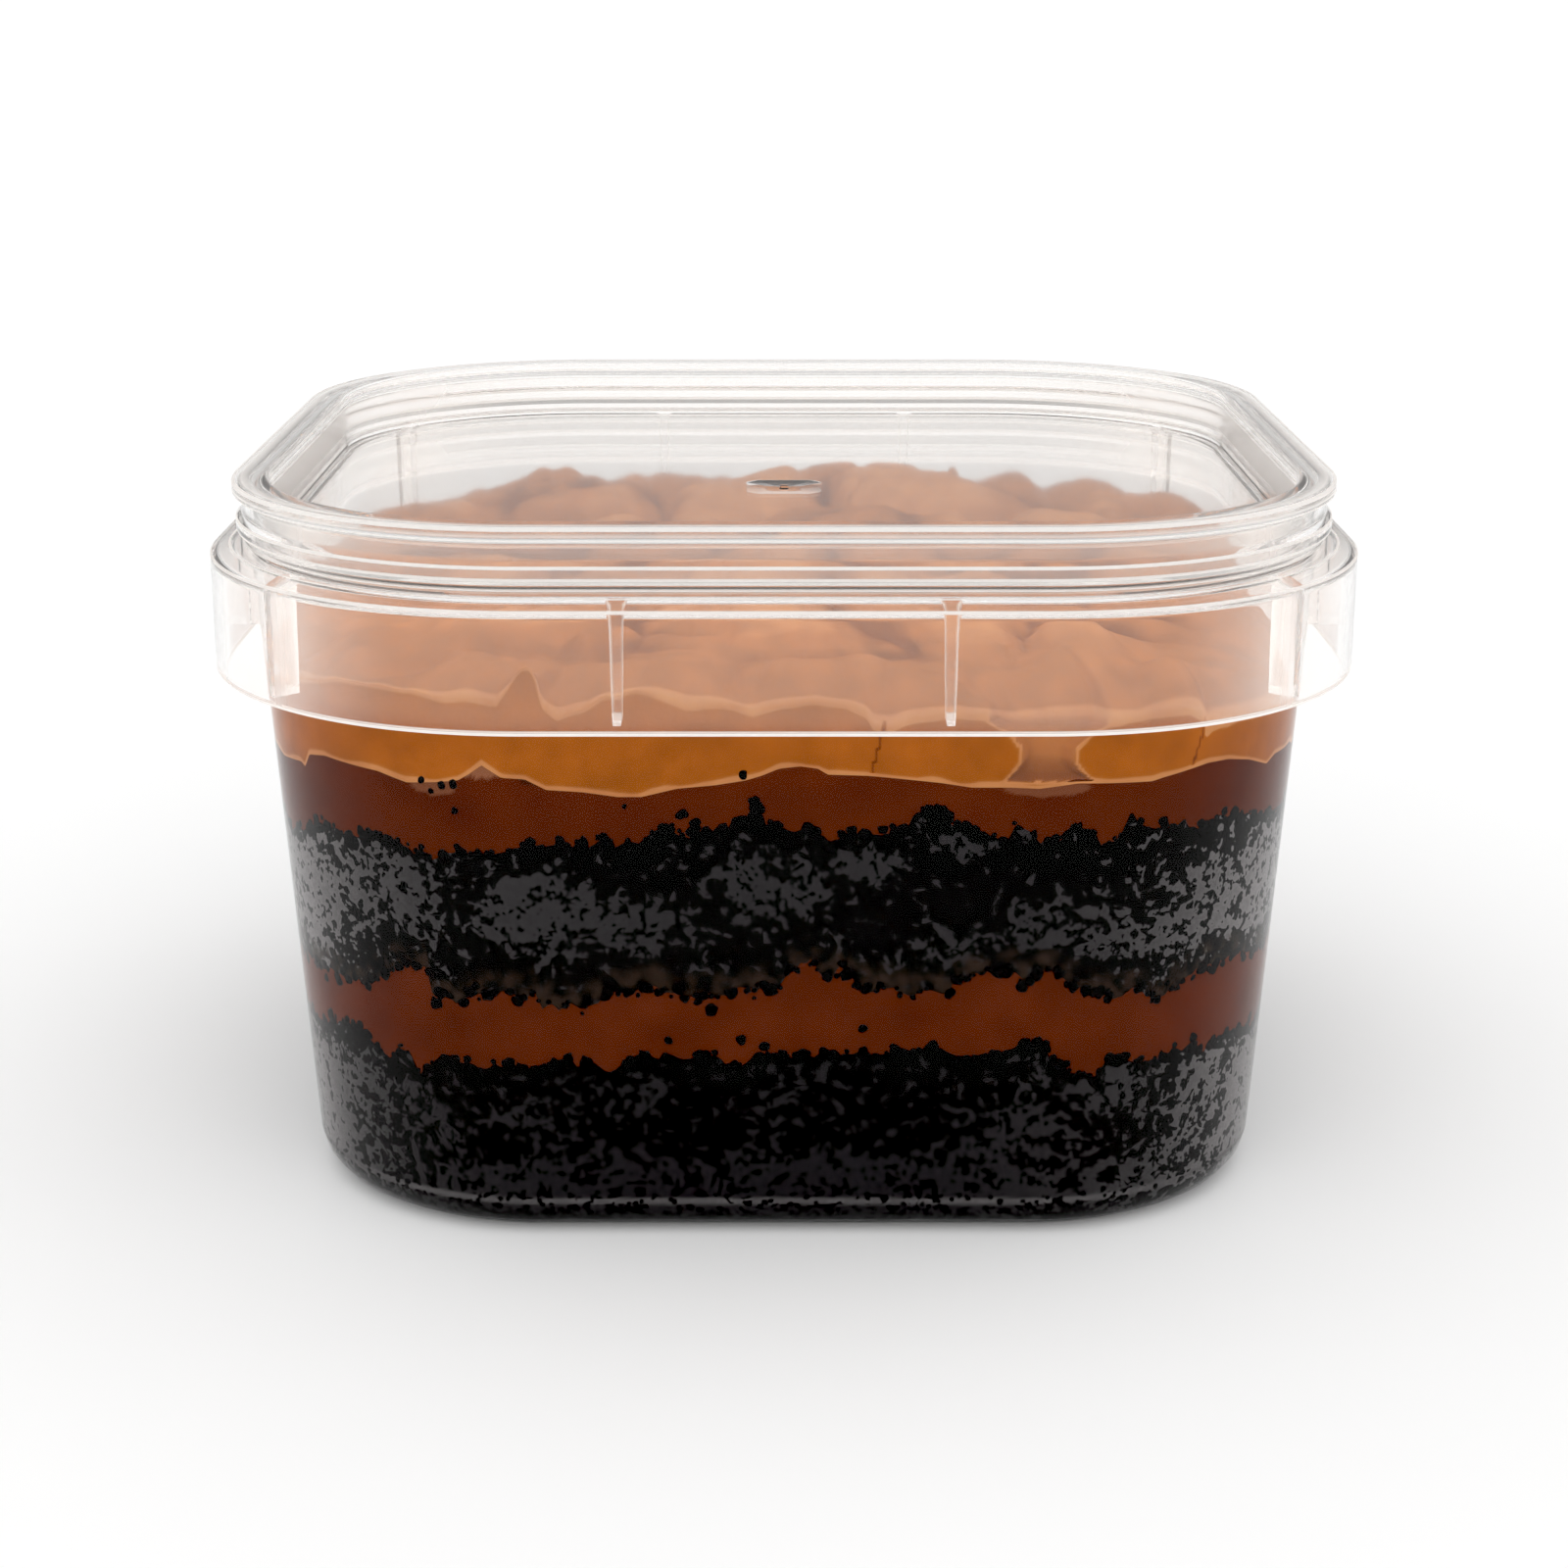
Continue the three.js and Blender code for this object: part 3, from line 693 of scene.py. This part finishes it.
dark_crumb = cake_material()
lower_cake_top = ragged(edge_line(LOWER_CAKE_EDGE, 11), 21)
lower_cake_foot = np.full(LAYER_STATIONS, FLOOR + 0.05)
LOWER_SHINE = (
    # run, how bright the painted reflection in the gaps is
    (-60, 0.15), (-52, 0.9), (-47, 1.1), (-42, 0.5), (-38, 0.27), (-33, 0.14), (-28, 0.1), (-20, 0.08),
    (14, 0.08), (24, 0.13), (32, 0.25), (36, 0.5), (41, 0.8), (47, 1.1), (52, 0.9), (60, 0.15),
)
lower_cake = crumbly("cake_lower_crumb", lower_cake_foot, lower_cake_top, 0.28, [
    # run, z, half width, half height, how dry
    (0, 4.5, 60, 4.2, 0.78),
    (-46, 8, 9, 8, 0.95),
    (-38, 10, 5, 5, 0.75),
    (-31, 9, 6, 5, 0.65),
    (-21, 10, 6, 4, 0.55),
    (-13, 13, 5, 3, 0.55),
    (-2, 12, 5, 3, 0.4),
    (20, 9, 6, 4, 0.7),
    (28, 13.5, 6, 3, 0.8),
    (38, 10, 7, 6, 0.7),
    (47, 8, 8, 8, 0.95),
], LOWER_SHINE)
lower_cake.data.materials.append(dark_crumb)
belongs(lower_cake, "dark_cake", "cake_lower")

# ======== Lower cream ========
# A thin layer of smooth chocolate cream, piped on the lower cake and pressed flat by the next.
# It wets the wall all round, so it shows its full reddish brown, and reaches down among the
# crumbs that stand out of the cake.
LOWER_CREAM_EDGE = (
    # run, z
    (-47, 20.9), (-41.8, 20.9), (-37, 21), (-34.9, 21.9), (-32.8, 23.6), (-29.8, 23.9), (-29.6, 21.6),
    (-27.3, 21.1), (-25.4, 21.9), (-20.3, 22.1), (-20, 21), (-17.7, 20.8), (-15.2, 21.2), (-14.8, 22.1),
    (-12.9, 22.1), (-11.2, 23), (-9.1, 22.2), (-7.2, 21.7), (-4.7, 21.9), (-3.2, 23), (-0.8, 22.6),
    (0.1, 24), (2.3, 24.9), (3.5, 23), (4.6, 24.5), (6.3, 22.6), (9.1, 22.4), (13.4, 22.4), (14.2, 23.6),
    (15.9, 24), (19.8, 23.6), (21.7, 24.1), (23.3, 22.9), (26.7, 21.4), (29, 21.8), (31.8, 21),
    (34, 21.8), (36.3, 22.6), (39.8, 22.5), (44.4, 22), (47, 21.5),
)
CREAM_REACH = 0.05  # less than the crumbs, so that those pressed into the cream show
PALE_CREAM = (0.3, 0.12, 0.06)  # over a pocket of air
DEEP_CREAM = (0.06, 0.012, 0.002)  # where a pocket lies in shade


def cream_band(name, low, high, rows=14, pockets=()):
    """A layer of cream against the wall, with plain faces above and below.

    Where a pocket of air lies at the wall, the cream is painted paler; painted shade darkens it instead.
    """
    share = (np.arange(rows) / (rows - 1))[:, None]
    z = low[None, :] + (high - low)[None, :] * share
    sides = [ring(wall_inside(z[i]) + CREAM_REACH, z[i], FOOD_T) for i in range(rows)]
    under = [ring(wall_inside(low), low, FOOD_T, scale) for scale in (0.5, 0.9)]
    over = [ring(wall_inside(high), high, FOOD_T, scale) for scale in (0.9, 0.5)]
    pale_and_shade = np.zeros(z.shape)
    for run, middle, wide, high_half, strength in pockets:
        away = np.hypot((run_of(FOOD_T) - run) / wide, (z - middle) / high_half)
        pale_and_shade = pale_and_shade + strength * smoothstep(1.05, 0.9, away)
    piece = shell(name, under + sides + over, low.mean(), high.mean())
    paint(piece, "pale_and_shade", np.concatenate([pale_and_shade[:1]] * 2 + [pale_and_shade] + [pale_and_shade[-1:]] * 2))
    return piece


def cream_material(name, deep, light, patch_size):
    """Smooth cream, mottled softly between two browns, paler at air pockets, darker with painted shade.
    """
    material, cream = new_material(name, {"Roughness": 0.45, "Specular IOR Level": 0})
    mottle = pattern(material, patch_size, 3)
    pale_and_shade = painted(material, "pale_and_shade")
    colour = mixed(material, between(material, mottle, 0.3, 0.7), deep, light)
    colour = mixed(material, between(material, pale_and_shade, 0, 1), colour, PALE_CREAM)
    colour = mixed(material, between(material, pale_and_shade, 0, -1), colour, DEEP_CREAM)
    feed(material, cream.inputs["Base Color"], colour)
    emboss(material, cream, mottle, 0.2, 0.2)
    return material


OVERLAP = 1.2  # how far the cream reaches down among the crumbs below it
lower_cream_top = ragged(edge_line(LOWER_CREAM_EDGE, 23), 31)
lower_cream = cream_band("cream_lower_smooth", lower_cake_top - OVERLAP, lower_cream_top + 0.3)
lower_cream.data.materials.append(
    cream_material("brown cream", (0.1, 0.0165, 0.003), (0.14, 0.026, 0.007), 6)
)
belongs(lower_cream, "brown_cream", "cream_lower")

# ======== Upper cake ========
# The second layer of the same sponge, thicker, with larger patches of trapped air at the wall.
# Its crumbs sink into the cream below and stand up into the cream above.
UPPER_CAKE_EDGE = (
    # run, z
    (-47, 32), (-43, 33.6), (-40.1, 34.3), (-32.7, 34.4), (-29.1, 34.3), (-28.3, 33.6), (-25.8, 34.4),
    (-23.6, 34.4), (-21.9, 34.9), (-15.9, 35.2), (-11.3, 35.6), (-10, 36.2), (-7.6, 36.2), (-5.1, 36.9),
    (-3.5, 36.6), (-2.8, 38.2), (-1.7, 38.2), (-1.4, 36.9), (1.7, 36.5), (3.4, 35.8), (8.1, 36.2),
    (10, 37.1), (10.8, 38.2), (12.7, 38.2), (13.4, 37.1), (15, 36.5), (16.2, 35.6), (18.1, 35.8),
    (18.9, 37.1), (20, 36.5), (20.6, 35.5), (22.5, 35.9), (23, 37.2), (23.9, 36.9), (25.3, 35.7),
    (25.8, 34.8), (27.4, 36.1), (27.9, 37.2), (29.5, 36.3), (31.4, 35.7), (32.9, 36.2), (34.7, 35.1),
    (36.2, 35.9), (39.5, 35.5), (44, 34.1), (47, 33.7),
)
upper_cake_top = ragged(edge_line(UPPER_CAKE_EDGE, 37), 51)
UPPER_SHINE = (
    # run, how bright the painted reflection in the gaps is
    (-60, 0.2), (-52, 1.0), (-47, 1.2), (-41, 0.75), (-36, 0.42), (-31, 0.27), (-24, 0.19), (-10, 0.14),
    (20, 0.14), (27, 0.24), (31, 0.38), (35, 0.55), (40, 0.85), (47, 1.2), (52, 1.0), (60, 0.2),
)
upper_cake = crumbly("cake_upper_crumb", lower_cream_top, upper_cake_top, 0.2, [
    # run, z, half width, half height, how dry
    (-46, 28, 11, 8, 0.92),
    (-33, 30.5, 8, 5, 0.85),
    (-20, 29.2, 7, 4.5, 0.9),
    (-12, 28, 6, 3.2, 0.72),
    (-1, 31.2, 6, 4, 0.7),
    (7, 33.4, 4, 2.4, 0.62),
    (14, 35, 3, 2, 0.6),
    (14, 26.5, 4, 2.5, 0.65),
    (21, 28.5, 5, 3.5, 0.52),
    (26, 27.5, 4, 3.5, 0.68),
    (31, 26.5, 4, 2.6, 0.92),
    (37, 28, 6, 5.5, 0.8),
    (45, 28.5, 7, 7, 0.85),
], UPPER_SHINE, smear=2.6)
upper_cake.data.materials.append(dark_crumb)
belongs(upper_cake, "dark_cake", "cake_upper")

# ======== Dark cream ========
# A second, thicker layer of the dark chocolate cream, spread over the upper cake.
# It wets the wall too, and its upper edge waves where the whipped cream was pressed into it.
DARK_CREAM_EDGE = (
    # run, z
    (-47, 39.1), (-43, 39.6), (-42.4, 39.3), (-41.4, 40.6), (-39.1, 41), (-33.1, 40.8), (-30.4, 40.2),
    (-27.9, 40.5), (-26, 40.8), (-25.2, 41.3), (-24, 42.2), (-22.5, 41.2), (-20.7, 41.1), (-19, 40.2),
    (-16, 40), (-13.3, 39.6), (-11.4, 39.6), (-8.6, 40.3), (-5.5, 40.6), (-3.1, 41), (-1.8, 41.4),
    (-0.4, 42), (1.3, 42.2), (2.7, 42), (3.5, 41.5), (6.7, 41.4), (8.8, 41.2), (12.5, 40.8), (15, 40.4),
    (18.2, 40.4), (20.4, 40.3), (23.4, 40.7), (29.6, 40.4), (30.5, 40.6), (33.4, 41), (34.9, 41.2),
    (37.2, 41.1), (39.9, 40.5), (43, 39.4), (44.5, 39.9), (47, 39.8),
)
AIR_POCKETS = (
    # run, z, half width, half height, how much paler (darker with painted shade, below 0)
    (-24.1, 41.5, 1.7, 0.75, 1.0),
    (-28.1, 39.9, 2.0, 0.8, 0.6),
    (-20.2, 40.75, 1.0, 0.45, -1.0),
    (21.0, 40.0, 3.5, 0.7, 0.5),
)
dark_cream_top = edge_line(DARK_CREAM_EDGE, 41)
dark_cream = cream_band("cream_dark_smooth", upper_cake_top - OVERLAP, dark_cream_top, 26, AIR_POCKETS)
dark_cream.data.materials.append(
    cream_material("dark cream", (0.09, 0.013, 0.0015), (0.13, 0.022, 0.003), 7)
)
belongs(dark_cream, "dark_cream", "cream_dark")

# ======== Whipped cream ========
# Light chocolate cream whipped stiff and spooned on in dollops, then flattened by the lid.
# Its lower part is pressed to the wall and shows orange brown up to a wavy line, above which it
# curves away from the wall and looks paler through the air between.
# Painted shade darkens the creases between dollops, the notch and the creases of the pressed face, and
# painted light brightens the tops of the dollops and the edge of contact.
WHIPPED_EDGE = (
    # run, z
    (-47, 45.9), (-44.8, 46.2), (-40.7, 47), (-36.4, 47.8), (-29.4, 47.9), (-26.7, 47.3), (-24.8, 47.5),
    (-22.6, 47.2), (-21.5, 48.9), (-20.8, 50), (-20.2, 50.2), (-19.7, 49.8), (-19.2, 47.1), (-18, 46.1),
    (-15.8, 46.8), (-14.2, 47.7), (-11.7, 48.4), (-9.7, 47.7), (-7.9, 46.9), (-4.7, 47.1), (-2.5, 46.4),
    (-0.7, 46.9), (2.2, 47.4), (4.7, 47.1), (6.5, 46.2), (7.1, 45.1), (8.6, 45.1), (10.4, 45.9),
    (13.6, 46.2), (16.2, 45.9), (17.4, 45.5), (18.5, 45.3), (23.9, 45.2), (25.3, 45.3), (28.1, 45.6),
    (30.3, 45.8), (32.5, 45.7), (33.7, 44.9), (34.4, 43.4), (35, 43.8), (37.1, 44), (42.4, 43.9),
    (47, 43.6),
)
# Creases in the pressed face, each drawn as a line of painted shade.
CREASES = (
    # run at the foot, run at the top, z at the foot, z at the top
    (7.0, 7.9, 41.3, 45.2),
    (33.3, 34.3, 41.0, 44.6),
)
CREASE_HALF = 0.16
NOTCH = (
    # z, run of the dollop's end to its left, run of the one to its right
    (40.5, 17.4, 24.9),
    (41.2, 18.1, 23.9),
    (42.2, 18.8, 23.2),
    (43.2, 18.9, 23.2),
    (44.2, 18.2, 24.1),
    (45.0, 17.2, 25.2),
    (45.6, 16.2, 26.4),
)
NOTCH_DEPTH = 1.3
NOTCH_ROUND = 1.0  # how far in from a dollop's end the cream reaches its full depth
WHIPPED_LEVEL = 49.0
WHIPPED_ROOF = 55.3
WHIPPED_ROLL = 5.0  # how far from the wall the cream reaches its own height
WHIPPED_ROWS = 34
WHIPPED_TONES = (
    # how pressed and lit it looks, colour
    (0.0, (0.22, 0.06, 0.012)),  # painted shade deep between dollops
    # painted shade on a dollop's shaded side
    (0.04, (0.33, 0.11, 0.028)),
    (0.12, (0.46, 0.165, 0.045)),  # off the wall
    (0.16, (0.46, 0.165, 0.045)),
    (0.22, (0.6, 0.25, 0.09)),  # painted light on top of a dollop
    (0.3, (0.62, 0.27, 0.1)),  # painted highlight along the edge of contact
    (0.44, (0.48, 0.165, 0.035)),  # pressed on behind the skirt
    (0.6, (0.43, 0.125, 0.014)),  # pressed on below the skirt
    (0.75, (0.43, 0.125, 0.014)),
    (1.0, (0.2, 0.05, 0.008)),  # painted shade in a crease of the pressed face
)
MOUNDS = (
    # x, y, radius, rise
    (-21, 24, 12, 4.4),
    (-35, 14, 10, 2.6),
    (-6, 20, 9, 3.2),
    (6, 26, 13, 4.6),
    (19, 23, 9, 4.0),
    (31, 20, 9, 2.4),
    (-29, -8, 12, 4.2),
    (-11, -3, 11, 4.6),
    (8, 2, 13, 5.6),
    (26, -2, 12, 4.4),
    (-19, -26, 12, 3.4),
    (2, -21, 12, 4.4),
    (21, -23, 10, 3.0),
    (35, -18, 8, 1.6),
)


def mound_height(points):
    """Height of the whipped cream's own surface: dollops side by side, with creases between."""
    heights = []
    for x, y, radius, rise in MOUNDS:
        away = np.hypot(points[..., 0] - x, points[..., 1] - y) / radius
        heights.append(rise * np.sqrt(np.clip(1 - away * away, 0, 1)))
    sharp = 2.2
    blend = np.log(sum(np.exp(sharp * height) for height in heights)) / sharp
    blend = blend - math.log(len(MOUNDS)) / sharp
    flat = points * (1, 1, 0)
    dollops = 2.6 * np.abs(smooth_noise(flat, 8.0, 81)) + 0.8 * np.abs(smooth_noise(flat, 3.2, 82))
    lumps = dollops - 1.1
    return np.minimum(WHIPPED_LEVEL + blend + lumps, WHIPPED_ROOF), lumps


def into_notch(run, z):
    """How far a place on the wall is inside the notch between two dollops, below 0 outside it."""
    heights, left, right = np.array(NOTCH).T
    beside = np.minimum(run - np.interp(z, heights, left), np.interp(z, heights, right) - run)
    return np.minimum(beside, (z - heights[0]) * 1.5)


def whipped(name):
    """Pressed side up to the contact line, then a rolled shoulder and the mounds.

    Painted with how pressed and how lit it looks: 0 for painted shade in the creases between
    dollops, 0.15 off the wall, 0.2 for painted light on top of a dollop, 0.3 for a painted highlight
    along the edge of contact, 0.45 to 0.6 where it is pressed on, 1 for painted shade in a crease
    there, and 0.03 to 0.15 for painted shade in the notch, darkest at its foot.
    """
    contact = edge_line(WHIPPED_EDGE, 59) + noise_round(1.2, 84) * 0.12
    contact = np.maximum(contact, dark_cream_top + 0.3)
    low = dark_cream_top - 0.3
    share = (0.5 - 0.5 * np.cos(np.arange(WHIPPED_ROWS) / (WHIPPED_ROWS - 1) * math.pi))[:, None]
    z = low[None, :] + (contact - low)[None, :] * share
    run = run_of(FOOD_T)
    inside = into_notch(run[None, :], z)
    half = wall_inside(z) + CREAM_REACH + 0.03 - NOTCH_DEPTH * smoothstep(0, NOTCH_ROUND, inside)
    sides = [ring(half[i], z[i], FOOD_T) for i in range(WHIPPED_ROWS)]
    under = [ring(wall_inside(low), low, FOOD_T, scale) for scale in (0.5, 0.9)]
    shoulder = [0.12, 0.3, 0.55, 0.9, 1.3, 1.8, 2.4, 3.1, 4.0, 5.0]
    inward = np.array(shoulder + list(np.arange(6.0, 43.0)))
    top, top_painted_light = [], []
    for away in inward:
        points = ring(half[-1], 0.0, FOOD_T, 1 - away / INSIDE_HALF)
        roll = math.sqrt(1 - (1 - min(away / WHIPPED_ROLL, 1)) ** 2)
        height, lumps = mound_height(points)
        points[:, 2] = contact + (height - contact) * roll
        top.append(points)
        # Painted shade in the creases between dollops and where the cream lies low, painted light on the
        # lumps' tops, both weaker near the wall.
        hollow_shade = 0.5 * smoothstep(4.5, 1.0, height - contact) + smoothstep(0.1, -0.8, lumps)
        tone = 0.06 * smoothstep(0.1, 1.1, lumps) - 0.14 * np.clip(hollow_shade, 0, 1)
        top_painted_light.append(0.15 + tone * (0.35 + 0.65 * smoothstep(5.0, 12.0, away)) * min(away / 3, 1))
    piece = shell(name, under + sides + top, low.mean(), float(top[-1][:, 2].mean()))
    # A painted highlight runs along the edge of contact, broken along the foot and round the notch.
    broken = 0.6 + noise_round(2.0, 85, 3.0)
    above_foot = z - dark_cream_top[None, :] + 0.3 * broken[None, :].clip(0, 1)
    from_edge = np.minimum(np.minimum(contact[None, :] - z, above_foot), 1.2 * np.abs(inside))
    pressed_on = 0.6 - 0.15 * smoothstep(SKIRT_BOTTOM - 0.8, SKIRT_BOTTOM + 0.6, z)
    press_and_painted_light = pressed_on - (pressed_on - 0.3) * smoothstep(0.42, 0.12, from_edge)
    # Painted shade along each crease of the pressed face.
    for low_run, high_run, low_z, high_z in CREASES:
        middle = low_run + (high_run - low_run) * (z - low_z) / (high_z - low_z)
        crease = (np.abs(run[None, :] - middle) < CREASE_HALF) & (z > low_z) & (z < high_z)
        press_and_painted_light = np.where(crease, 1.0, press_and_painted_light)
    # Painted shade inside the notch, darkest at its foot.
    shade = 0.03 + 0.12 * smoothstep(40.8, 43.6, z)
    press_and_painted_light = np.where(inside > 0.12, shade, press_and_painted_light)
    # The top's first ring carries the painted highlight on.
    top_painted_light[0] = np.full(LAYER_STATIONS, 0.25)
    paint(piece, "press_and_painted_light", np.array([press_and_painted_light[0]] * len(under) + list(press_and_painted_light) + top_painted_light))
    return piece


def whipped_material():
    """Orange brown where pressed to the wall, a painted highlight at its edge, pinkish brown above."""
    material, cream = new_material(
        "whipped chocolate cream", {"Roughness": 0.6, "Specular IOR Level": 0}
    )
    ramp = material.node_tree.nodes.new("ShaderNodeValToRGB")
    stops = ramp.color_ramp.elements
    stops[0].color = (*WHIPPED_TONES[0][1], 1)
    stops[1].color = (*WHIPPED_TONES[-1][1], 1)
    for press_and_painted_light, colour in WHIPPED_TONES[1:-1]:
        stops.new(press_and_painted_light).color = (*colour, 1)
    feed(material, ramp.inputs["Fac"], painted(material, "press_and_painted_light"))
    mottle = pattern(material, 3.0, 5)
    tone = ramp.outputs["Color"]
    shade = step(material, "ShaderNodeMixRGB", 0.35, tone, mottle, blend_type="OVERLAY")
    feed(material, cream.inputs["Base Color"], shade)
    emboss(material, cream, mottle, 0.35, 0.4)
    return material


whipped_cream = whipped("cream_whipped_mounds")
whipped_cream.data.materials.append(whipped_material())
belongs(whipped_cream, "whipped_cream", "cream_whipped")

# ======== Loose crumbs ========
# Crumbs broken off the cake lie along its edges and here and there in the cream.
# Each is an uneven little lump, mostly under a millimetre across, pressed flat on the wall.
CRUMBS_IN_CREAM = (
    # run, z, radius
    (-28.9, 40.3, 0.3),
    (-27.3, 40.0, 0.35),
    (-26.4, 40.2, 0.35),
    (-28.3, 39.4, 0.25),
    (-26.5, 37.9, 0.3),
    (-8.1, 37.8, 0.5),
    (-3.4, 41.2, 0.4),
    (-2.3, 38.4, 0.6),
    (-12.7, 38.5, 0.2),
    (-9.5, 17.9, 0.35),
    (-3.5, 18.0, 0.45),
    (6.6, 19.0, 0.4),
    (-6.0, 20.8, 0.6),
    (11.6, 38.0, 0.6),
)
EDGE_CRUMBS = 640  # along each edge
FOOT_CRUMBS = 420
FOOT_CRUMBS_Z = 2.7
SMALLEST_CRUMB = 0.18  # radius
CRUMB_PRESSED = 0.2  # how far a crumb reaches into the wall
FLATTENED = 0.3  # how thick a crumb is against the wall, as a share of its width


def round_crumb():
    """The corners and faces of a ball of 80 triangles."""
    ball = bmesh.new()
    bmesh.ops.create_icosphere(ball, subdivisions=2, radius=1.0)
    corners = np.array([corner.co[:] for corner in ball.verts])
    faces = [tuple(corner.index for corner in face.verts) for face in ball.faces]
    ball.free()
    return corners, faces


def crumbs_along(edge, rng, spread, count=EDGE_CRUMBS, largest=0.65):
    """Places of crumbs scattered along an edge: t, z and radius."""
    places = []
    for i in rng.randint(0, LAYER_STATIONS, count):
        z = edge[i] + rng.normal(0, spread)
        radius = SMALLEST_CRUMB + (largest - SMALLEST_CRUMB) * rng.random() ** 1.7
        places.append((FOOD_T[i], z, radius))
    return places


rng = np.random.RandomState(7)
crumb_places = crumbs_along(lower_cake_top, rng, 0.25)
crumb_places += crumbs_along(lower_cream_top, rng, 0.3)
crumb_places += crumbs_along(upper_cake_top, rng, 0.25)
foot_line = np.full(LAYER_STATIONS, FOOT_CRUMBS_Z)
crumb_places += crumbs_along(foot_line, rng, 0.5, FOOT_CRUMBS, 0.35)
for run, z, radius in CRUMBS_IN_CREAM:
    crumb_places.append((FOOD_T[np.argmin(np.abs(run_of(FOOD_T) - run))], z, radius))
ball_corners, ball_faces = round_crumb()
points, faces = [], []
for t, z, radius in crumb_places:
    half = float(wall_inside(z)) + CRUMB_PRESSED - radius * FLATTENED
    middle = ring(half, z, np.array([t]))[0]
    outward = ring(half + 1, z, np.array([t]))[0] - middle
    uneven = 1 + 0.45 * smooth_noise(ball_corners + rng.random(3) * 50, 0.6, 91)[:, None]
    lump = ball_corners * uneven
    lump = lump - (lump @ outward)[:, None] * outward * (1 - FLATTENED)
    faces += [tuple(len(points) + i for i in face) for face in ball_faces]
    points += (lump * radius + middle).tolist()
crumb_mesh = bpy.data.meshes.new("crumbs_loose")
crumb_mesh.from_pydata((np.array(points) * MM).tolist(), [], faces)
crumb_mesh.shade_smooth()
wet = np.full(len(points), -1.0)
crumb_mesh.attributes.new("dry", "FLOAT", "POINT").data.foreach_set("value", wet)
crumb_mesh.materials.append(dark_crumb)
loose_crumbs = bpy.data.objects.new("crumbs_loose", crumb_mesh)
bpy.context.scene.collection.objects.link(loose_crumbs)
belongs(loose_crumbs, "dark_cake")

# ======== Floor, light and camera ========
# A plain white sweep under the tub, lit softly from above and in front, darker low at the back.
# The camera stands close in front and looks down by about 16 degrees.
FLOOR_REACH = 9.0  # metres each way
FLOOR_DROP = 0.00003  # metres below the foot, so that the two faces stay apart
CAMERA_PLACE = (0, -0.2636, 0.1046)
CAMERA_PITCH = 16.30


def sweep_material():
    """Matt white board, with hardly any unevenness."""
    material, board = new_material("white sweep", {"Roughness": 0.7, "Specular IOR Level": 0.1})
    tone = mixed(material, pattern(material, 50.0), (0.9, 0.9, 0.9), (0.92, 0.92, 0.918))
    feed(material, board.inputs["Base Color"], tone)
    return material


floor_mesh = bpy.data.meshes.new("floor")
floor_corners = [
    (x * FLOOR_REACH, y * FLOOR_REACH, -FLOOR_DROP) for x, y in ((-1, -1), (1, -1), (1, 1), (-1, 1))
]
floor_mesh.from_pydata(floor_corners, [], [(0, 1, 2, 3)])
floor_mesh.materials.append(sweep_material())
floor = bpy.data.objects.new("floor", floor_mesh)
bpy.context.scene.collection.objects.link(floor)

scene = bpy.context.scene
world = bpy.data.worlds.new("soft studio")
world.use_nodes = True
world_nodes, world_links = world.node_tree.nodes, world.node_tree.links
direction = world_nodes.new("ShaderNodeTexCoord")
towards_light = world_nodes.new("ShaderNodeVectorMath")
towards_light.operation = "DOT_PRODUCT"
towards_light.inputs[1].default_value = (0, -0.6, 0.8)  # in front and above
brightness = world_nodes.new("ShaderNodeMapRange")
brightness.inputs["From Min"].default_value = -0.6
brightness.inputs["From Max"].default_value = 0.4
brightness.inputs["To Min"].default_value = 0.4
brightness.inputs["To Max"].default_value = 1.1
backdrop = world_nodes["Background"]
backdrop.inputs["Color"].default_value = (1.0, 1.0, 1.0, 1)
world_links.new(direction.outputs["Generated"], towards_light.inputs[0])
world_links.new(towards_light.outputs["Value"], brightness.inputs["Value"])
world_links.new(brightness.outputs["Result"], backdrop.inputs["Strength"])
scene.world = world

sun = bpy.data.lights.new("overhead", "SUN")
sun.energy = 0.55
sun.angle = math.radians(70)
overhead = bpy.data.objects.new("overhead", sun)
overhead.rotation_euler = (math.radians(45), 0, 0)
scene.collection.objects.link(overhead)

camera = bpy.data.objects.new("camera", bpy.data.cameras.new("camera"))
camera.location = CAMERA_PLACE
camera.rotation_euler = (math.radians(90 - CAMERA_PITCH), 0, 0)
camera.data.sensor_width = 36
camera.data.lens = 65.8
camera.data.clip_start = 0.01
scene.collection.objects.link(camera)
scene.camera = camera
scene.view_settings.view_transform = "Standard"
scene.view_settings.use_curve_mapping = True
scene.view_settings.curve_mapping.black_level = (0.02, 0.02, 0.02)
scene.view_settings.curve_mapping.update()
scene.cycles.max_bounces = 16
scene.cycles.transmission_bounces = 14
scene.cycles.transparent_max_bounces = 16
